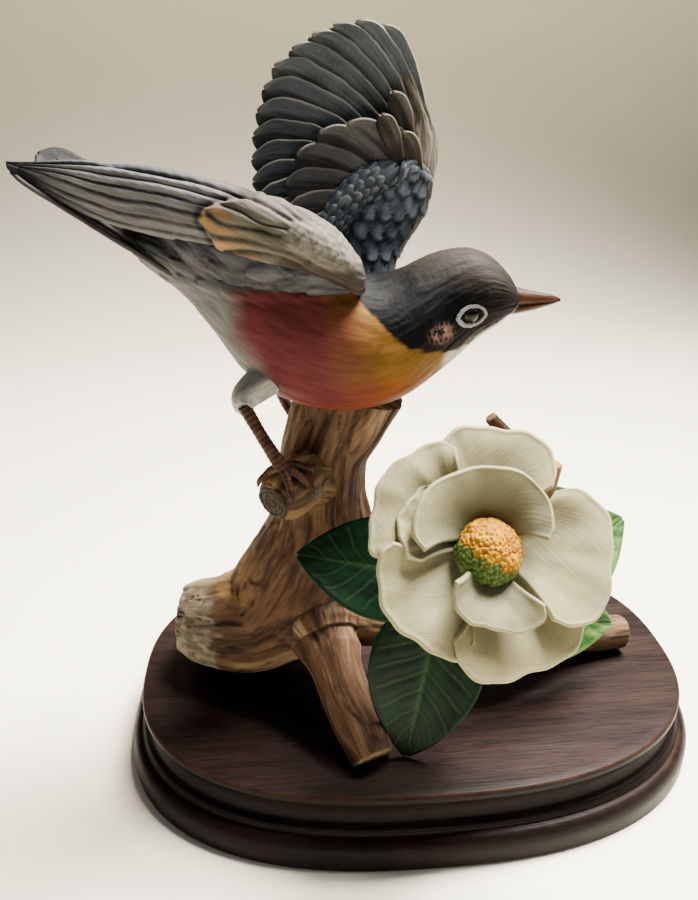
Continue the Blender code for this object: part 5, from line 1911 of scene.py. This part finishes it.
@dataclass
class Magnolia:
    """The open flower: five outer petals, three cupped inner ones and a knobbly boss."""

    heart: Row = (12.0, -49.6, 76.7)
    facing: Row = (0.0, -0.82, 0.57)
    thickness: float = 1.7
    boss_radius: float = 9.75
    knobs: int = 780
    outer: tuple[Petal, ...] = (
        Petal("top_petal", 80, 41, 35.6, 7.0, 1.5, 0.22, -1.8, 1.0),
        Petal("upper_left_petal", 146.5, 40, 35.8, 9.0, 2.0, 0.13, -1.8, 3.0),
        Petal("lower_left_petal", 216, 41, 35.0, 7.0, 2.0, 0.14, -1.8, 1.0),
        Petal("bottom_petal", 288, 44, 38.0, 4.8, 2.0, 0.17, -1.8, 1.5),
        Petal("right_petal", 350.5, 45, 37.0, 6.5, 2.0, 0.2, -1.8, 1.5),
    )
    inner: tuple[Petal, ...] = (
        Petal("upper_cup", 92, 91, 22.8, 12.6, 0.6, 0.14, -0.6, 0.3, 0.12),
        Petal("left_cup", 158, 32, 27.2, 9.0, 1.2, 0.18, 0.8, 0.4),
        Petal("lower_cup", 262, 45, 23.4, 11.0, 4.4, 0.12, -1.8, 0.9, 0.14),
    )

    def axes(self) -> tuple[Array, Array, Array]:
        """Directions right, up and outward in the flower's plane.

        Returns:
            Three directions square to each other.
        """
        out = unit(self.facing)
        right = unit(np.cross([0, 0, 1.0], out))
        return right, np.cross(out, right), out

    def petal_skin(self, petal: Petal, seed: int) -> Skin:
        """A petal: radius and height over its fan's angle.

        The radius runs from 3 mm to a rim that falls back at the sides with the 3.5th
        power; the height is a parabola to the rim, plus the cup, the lean and the roll.

        Args:
            petal: Its sizes.
            seed: Which creases it has.

        Returns:
            The closed skin.
        """
        a = eased(54)[None, :]
        s = (1 - (1 - np.linspace(0, 1, 46)) ** 1.5)[:, None]
        wave = 0.022 * np.sin(6.5 * a + petal.middle) + 0.008 * np.sin(17 * a)
        rim = petal.reach * (1 - petal.notch * np.abs(a) ** 3.5 + petal.skew * a + wave)
        corner = 1 - 0.10 * smooth(np.abs(a), 0.86, 1.0) * smooth(s, 0.5, 1.0)
        radius = 3.0 + (rim - 3.0) * s * corner
        angle = np.radians(petal.middle + petal.spread * a * (0.75 + 0.25 * s))
        height = petal.rise * (1.6 * s - 0.6 * s**2)
        height = height + petal.cup * a**2 * s + petal.lean * a * s
        height = height - petal.roll * np.clip(s - 0.72, 0, None) ** 2 * 12
        height = height + 0.8 * sheet_noise(2.2 * s, 1.6 * a, seed, seed) * s
        right, up, out = self.axes()
        turned = np.cos(angle)[..., None] * right + np.sin(angle)[..., None] * up
        flat = radius[..., None] * turned
        grid = np.asarray(self.heart) + flat + (height - 1.0)[..., None] * out
        crease = sheet_noise(s, 5 * a, seed, seed + 1)
        lines = bell(sheet_noise(0.9 * s, 9 * a, seed, seed + 2), 0.10)
        depth = smooth(s, 0.35, 0.9) + 0 * a
        lip = bell(s - 0.974, 0.022) + bell(np.abs(a) - 0.983, 0.016) * s
        lip = np.clip(lip, 0, 1)
        relief_height = depth * (0.26 * crease - 0.12 * lines) + 0.30 * lip
        # Painted shade: the petals darken towards the heart of the flower, the cupped inner ones
        # more, in colour and in wash.
        heart = (1 - smooth(radius, 6, 31)) * (0.9 if petal in self.inner else 0.6)
        paint = blend(srgb(138, 130, 98), srgb(70, 75, 60), heart)
        # Painted highlight: the lip is painted lighter.
        paint = blend(paint, srgb(158, 150, 116), 0.4 * lip)
        # Painted light and shade: lighter on raised creases and darker in their hollows.
        paint = paint * (1 + 0.07 * crease[..., None] * depth[..., None])
        relief = np.clip(0.80 + 0.25 * crease - 0.35 * lines * depth - 0.3 * heart, 0, 1)
        return shell(grid, self.thickness, paint, relief_height, relief)

    def boss_skins(self) -> list[Skin]:
        """The boss: a dome whose skin bulges in knobs set on a sunflower's spiral.

        Knob n stands at the golden angle times n round the dome, and the square root of
        n's share of all knobs sets how far down its side.

        Returns:
            The boss's one skin.
        """
        right, up, out = self.axes()
        centre = np.asarray(self.heart) + 4.0 * out - 1.5 * up
        polar = np.linspace(0, 0.60 * math.pi, 100)[1:, None]
        turn = np.linspace(0, 2 * math.pi, 200, endpoint=False)[None, :]
        ball = np.stack([np.sin(polar) * np.cos(turn), np.sin(polar) * np.sin(turn),
                         np.cos(polar) + 0 * turn], axis=-1)
        n = np.arange(self.knobs) + 0.5
        tilt = np.arccos(1 - 1.55 * n / self.knobs)
        swing = n * math.pi * (3 - math.sqrt(5))
        knobs = np.stack([np.sin(tilt) * np.cos(swing), np.sin(tilt) * np.sin(swing),
                          np.cos(tilt)], axis=-1)
        stray = np.stack([np.sin(37 * n), np.cos(53 * n), np.sin(71 * n)], axis=-1)
        knobs = unit(knobs + 0.05 * stray)
        near = np.einsum("ijk,lk->ijl", ball, knobs)
        best = near.max(axis=-1)
        which = near.argmax(axis=-1)
        bump = np.sqrt(np.clip(1 - (1 - best) / 0.0017, 0, 1))
        size = self.boss_radius * (1 + 0.05 * noise(ball * 2.2, 171, 3))
        axes = np.stack([right, up, out * 0.96])
        grid = centre + ((size + 0.36 * bump - 0.1)[..., None] * ball) @ axes
        low = smooth(-(ball @ np.array([0.42, 0.70, 0.0])) - 0.55 * ball[..., 2]
                     + 0.22 * noise(ball * 4, 173, 2), -0.34, -0.06)
        tone = np.sin(which * 12.99) * 0.5 + 0.5
        speck = smooth(noise(ball * 13.0, 175, 3), 0.05, 0.4)
        cloud = smooth(noise(ball * 3.0, 177, 2), -0.5, 0.5)
        yellow = blend(srgb(142, 86, 0), srgb(184, 136, 6), 0.5 * tone + 0.5 * cloud)
        crown = bell(np.hypot(ball[..., 0], ball[..., 1] - 0.2), 0.55)
        paint = blend(yellow, srgb(104, 58, 26), 0.8 * speck * (1 - 0.75 * crown))
        green = blend(srgb(34, 58, 28), srgb(88, 108, 56), 0.6 * tone + 0.4 * bump)
        paint = blend(paint, green, low)
        relief = np.clip(0.3 + 0.7 * bump, 0, 1)
        return [loft(grid, paint, relief, grid)]

    def build(self, petal: bpy.types.Material, boss: bpy.types.Material) -> None:
        """Makes the petals and the boss."""
        for seed, each in enumerate(self.outer + self.inner):
            show(each.name, [self.petal_skin(each, 400 + 5 * seed)], petal)
        show("flower_boss", self.boss_skins(), boss)


@dataclass(frozen=True)
class Leaf:
    """An oval leaf with a point: where it starts and ends, and how it is folded."""

    name: str
    root: Row
    tip: Row
    width: float
    facing: Row
    fold: float
    droop: float
    light: float


@dataclass
class Foliage:
    """The leaves round the flower, creased at the midrib, with curved side veins."""

    thickness: float = 1.6
    veins: int = 9
    leaves: tuple[Leaf, ...] = (
        Leaf("left_leaf", (8, -36, 57), (-42.3, -27, 63.3), 33, (0.0, -0.82, 0.57), 0.18, -2, 0.0),
        Leaf("front_leaf", (3, -38, 55), (-9.5, -53.5, 1.2), 37, (-0.1, -0.93, 0.35), 0.16, -2, 0.0),
        Leaf("upper_right_leaf", (22, -26, 60), (64, -4, 66), 30, (-0.2, -0.7, 0.68), 0.2, -2, 0.5),
        Leaf("right_leaf", (28, -26, 44), (75.5, -6, 59), 32, (0.25, -0.75, 0.6), 0.22, -2, 1.0),
        Leaf("lower_right_leaf", (19, -20, 32), (71.5, -18, 22.5), 30, (0.1, -0.85, 0.5),
             0.22, -2, 1.0),
    )

    def skin(self, leaf: Leaf, seed: int) -> Skin:
        """One leaf: its breadth is a power of a sine along it, folded up at the midrib.

        The rows of the grid slant towards the tip as the veins do.

        Args:
            leaf: Its sizes.
            seed: Which waves it has.

        Returns:
            The closed skin.
        """
        root, tip = np.asarray(leaf.root, float), np.asarray(leaf.tip, float)
        facing = unit(leaf.facing)
        side = unit(np.cross(facing, tip - root))
        u = np.linspace(0, 1, 118)[:, None]
        a = eased(45)[None, :]
        slant = 1.9 * np.abs(a) ** 0.8 * (1 + 0.2 * a)
        s = np.clip(u + 0.75 * slant / self.veins * np.sin(math.pi * u), 0, 1)
        breadth = leaf.width / 2 * (0.02 + 0.98 * np.sin(math.pi * s**0.85) ** 0.75)
        height = leaf.fold * breadth * np.sqrt(a**2 + 0.004) + leaf.droop * (2 * s - 1) ** 2
        height = height + 0.7 * np.sin(7 * s + 2 * a) * a**2
        spine = root + s[..., None] * (tip - root)
        grid = spine + (a * breadth)[..., None] * side + height[..., None] * facing
        lane = s * self.veins - slant + 0.12 * sheet_noise(6 * s, 3 * a, 0, seed)
        line = bell(lane - np.round(lane), 0.07) * (1 - smooth(np.abs(a), 0.8, 0.95))
        line = line * smooth(s, 0.02, 0.1)
        rib = bell(a * breadth / (0.75 * (1.15 - s)), 1.0)
        puff = np.cos(2 * math.pi * lane) * (1 - smooth(np.abs(a), 0.7, 1.0))
        relief_height = 0.15 * line - 0.35 * rib - 0.07 * puff
        tone = sheet_noise(4 * s, 4 * a, seed, seed + 1, 3)
        deep = blend(srgb(8, 24, 15), srgb(38, 68, 32), np.array(leaf.light))
        pale = blend(srgb(18, 42, 25), srgb(92, 118, 62), np.array(leaf.light))
        paint = blend(deep, pale, np.clip(0.35 + 0.5 * tone - 0.25 * puff, 0, 1))
        paint = blend(paint, srgb(48, 72, 44), np.clip(0.4 * line + 0.6 * rib, 0, 1))
        relief = np.clip(0.85 - 0.25 * line - 0.2 * rib + 0.15 * tone, 0, 1)
        return shell(grid, self.thickness, paint, relief_height, relief, srgb(58, 78, 50))

    def build(self, finish: bpy.types.Material) -> None:
        """Makes each leaf, and the stem that carries the upper right one.

        Args:
            finish: The leaves' green.
        """
        for seed, leaf in enumerate(self.leaves):
            show(leaf.name, [self.skin(leaf, 500 + 3 * seed)], finish)
        path = spline(np.array([(18, -18, 34), (24, -24, 48), (30, -26, 52)]), 60)
        rings = rings_along(path, np.full((60, 2), 2.4), 32)
        flow = straightened(rings)
        tone = noise(flow / 3.0, 521, 3)
        paint = blend(srgb(26, 44, 24), srgb(60, 76, 40), smooth(tone, -0.6, 0.8))
        show("leaf_stem", [loft(rings, paint, np.clip(0.7 + 0.3 * tone, 0, 1), flow)], finish)


class Side(Enum):
    """Where a light stands as seen from the camera."""

    WINDOW = "window"
    FILL = "fill"
    BACK = "back"


@dataclass
class Studio:
    """The pale floor, the soft lights and the camera.

    Attributes:
        eye: The camera's place, in metres.
        yaw: How far it turns right of +Y, in degrees.
        pitch: How far it looks down.
        lens: Its focal length in millimetres on a 36 mm frame, longest side.
        floor_half: Half the floor's breadth.
        bend_start: How far behind the origin the floor begins to bend up into a wall.
        bend: Radius of that bend.
    """

    eye: Row = (-0.0457, -0.2461, 0.2249)
    yaw: float = 5.24
    pitch: float = 24.28
    lens: float = 32.0
    floor_half: float = 3.0
    bend_start: float = 0.5
    bend: float = 0.35

    def camera(self) -> None:
        """Makes the camera: its axes are the sight line and two directions square to it."""
        yaw, pitch = math.radians(self.yaw), math.radians(self.pitch)
        sight = np.array([math.sin(yaw) * math.cos(pitch), math.cos(yaw) * math.cos(pitch),
                          -math.sin(pitch)])
        right = np.array([math.cos(yaw), -math.sin(yaw), 0.0])
        turn = Matrix([right.tolist(), np.cross(right, sight).tolist(), (-sight).tolist()])
        data = bpy.data.cameras.new("view")
        data.lens = self.lens
        data.sensor_width = 36.0
        data.sensor_fit = "AUTO"
        data.clip_start = 0.01
        made = bpy.data.objects.new("view", data)
        made.matrix_world = Matrix.Translation(self.eye) @ turn.transposed().to_4x4()
        bpy.context.scene.collection.objects.link(made)
        bpy.context.scene.camera = made

    def light(self, side: Side, place: Row, target: Row, size: float, power: float,
              colour: Row, spread: float = 180.0) -> None:
        """A square soft light that faces a target.

        Args:
            side: Which light it is.
            place: Where it stands, in metres.
            target: What it faces.
            size: Its edge.
            power: Its power in watts.
            colour: Its colour.
            spread: Angle of its beam, in degrees.
        """
        data = bpy.data.lights.new(side.value, "AREA")
        data.size = size
        data.energy = power
        data.spread = math.radians(spread)
        data.color = colour
        made = bpy.data.objects.new(side.value, data)
        back = unit(np.asarray(place) - np.asarray(target))
        across = unit(np.cross([0, 0, 1.0], back))
        turn = Matrix([across.tolist(), np.cross(back, across).tolist(), back.tolist()])
        made.matrix_world = Matrix.Translation(place) @ turn.transposed().to_4x4()
        bpy.context.scene.collection.objects.link(made)

    def floor(self) -> None:
        """A wide pale matt floor, its tone a little uneven."""
        shader = Shader("pale_floor", 0.7)
        clouds = shader.noise(shader.place(), 6.0, 2.0)
        colour = shader.mixed(clouds, (0.80, 0.74, 0.59), (0.85, 0.79, 0.64))
        finish = shader.finished(colour, shader.bumped(clouds, 0.00002))
        edge = self.floor_half
        turn = np.radians(np.linspace(0, 90, 25))
        bend = self.bend_start + self.bend * np.sin(turn)
        y = np.concatenate([[-edge], bend, [self.bend_start + self.bend]])
        z = np.concatenate([[0.0], self.bend * (1 - np.cos(turn)), [edge]])
        points = np.column_stack([np.tile([-edge, edge], len(y)), np.repeat(y, 2), np.repeat(z, 2)])
        mesh = bpy.data.meshes.new("floor")
        mesh.from_pydata(points.tolist(), [], grid_quads(len(y), 2, False).tolist())
        mesh.polygons.foreach_set("use_smooth", [True] * len(mesh.polygons))
        mesh.materials.append(finish)
        made = bpy.data.objects.new("floor", mesh)
        bpy.context.scene.collection.objects.link(made)

    def build(self) -> None:
        """Sets up camera, floor, lights and the world's even light."""
        self.camera()
        self.floor()
        middle = (0.0, -0.01, 0.12)
        self.light(Side.WINDOW, (0.36, 0.19, 1.02), middle, 0.45, 30.0, (1.0, 0.965, 0.90),
                   85.0)
        self.light(Side.FILL, (-0.9, -0.7, 0.8), middle, 0.9, 1.2, (0.90, 0.95, 1.0))
        self.light(Side.BACK, (0.9, -0.4, 0.7), middle, 0.6, 2.2, (1.0, 0.96, 0.88))
        world = bpy.data.worlds.new("even_light")
        world.use_nodes = True
        sky = world.node_tree.nodes["Background"]
        sky.inputs["Color"].default_value = (0.78, 0.88, 1.0, 1.0)
        sky.inputs["Strength"].default_value = 0.12
        bpy.context.scene.world = world


def main() -> None:
    """Builds the figurine piece by piece and sets it in the studio."""
    logging.basicConfig(level=logging.INFO, format="%(name)s %(message)s")
    Studio().build()
    WoodenBase().build(StainedWalnut().material())
    bark = PaintedBisque("painted_bark", wash=(0.010, 0.006, 0.004), wash_share=0.75,
                         dry_brush=(0.24, 0.17, 0.10), brush_share=0.2, streak=0.18,
                         streak_scale=(0.12, 1.1), roughness=0.66,
                         streak_height=0.00025).material()
    plumage = PaintedBisque("painted_plumage", wash=(0.005, 0.004, 0.004), wash_share=0.9,
                            brush_share=0.14, dry_brush=(0.15, 0.14, 0.13), streak=0.22,
                            streak_scale=(0.12, 1.5), roughness=0.60).material()
    down = PaintedBisque("painted_down", wash=(0.045, 0.036, 0.034), wash_share=0.6,
                         streak=0.16, streak_scale=(0.14, 1.5), roughness=0.62).material()
    breast = PaintedBisque("painted_breast", wash=(0.022, 0.009, 0.007), wash_share=0.5,
                           streak=0.16, streak_scale=(0.10, 1.3), roughness=0.6,
                           gloss=0.05).material()
    beak = PaintedBisque("painted_beak", wash=(0.03, 0.015, 0.01), wash_share=0.8,
                         streak=0.15, roughness=0.42).material()
    horn = PaintedBisque("painted_leg", wash_share=0.8, streak=0.2, roughness=0.5).material()
    white = PaintedBisque("white_bisque", wash=(0.16, 0.15, 0.10), wash_share=0.45, streak=0.04,
                          streak_scale=(0.05, 0.8), roughness=0.5, grain=0.00003,
                          streak_height=0.00012).material()
    pollen = PaintedBisque("painted_boss", wash=(0.12, 0.05, 0.010), wash_share=0.6,
                           streak=0.1, roughness=0.7, grain=0.0001).material()
    leaf = PaintedBisque("painted_leaf", wash=(0.008, 0.025, 0.012), wash_share=0.5,
                         streak=0.15, streak_scale=(0.2, 0.6), roughness=0.42,
                         gloss=0.09).material()
    Stump().build(bark)
    show("robin_body", [RobinBody().skin()], breast)
    Face().build(beak, white, Enamel("eye_enamel").material())
    RaisedWing().build(plumage)
    NearWing().build(plumage)
    TailAndFlank().build(plumage, down)
    Leg("near", ((-49, -17, 120), (-55.5, -25, 117), (-56.5, -29, 114.5)),
        ((-56.2, -29, 115.5), (-51.5, -30.5, 106.5), (-46, -31.5, 96.5)),
        ((-38.2, -27.5, 94), (-37.6, -32, 90), (-43.4, -36.8, 90.2), (-52.2, -29.6, 92))
        ).build(down, horn)
    Leg("far", ((-44, 0, 116), (-47, 8, 112), (-47, 11, 109)),
        ((-47, 10.5, 110), (-44, 14, 100), (-38, 14, 90)),
        ((-33, 16, 85), (-30, 15.5, 89), (-36, 14, 83), (-42, 13, 87))).build(down, horn)
    Magnolia().build(white, pollen)
    Foliage().build(leaf)


if __name__ == "__main__":
    main()
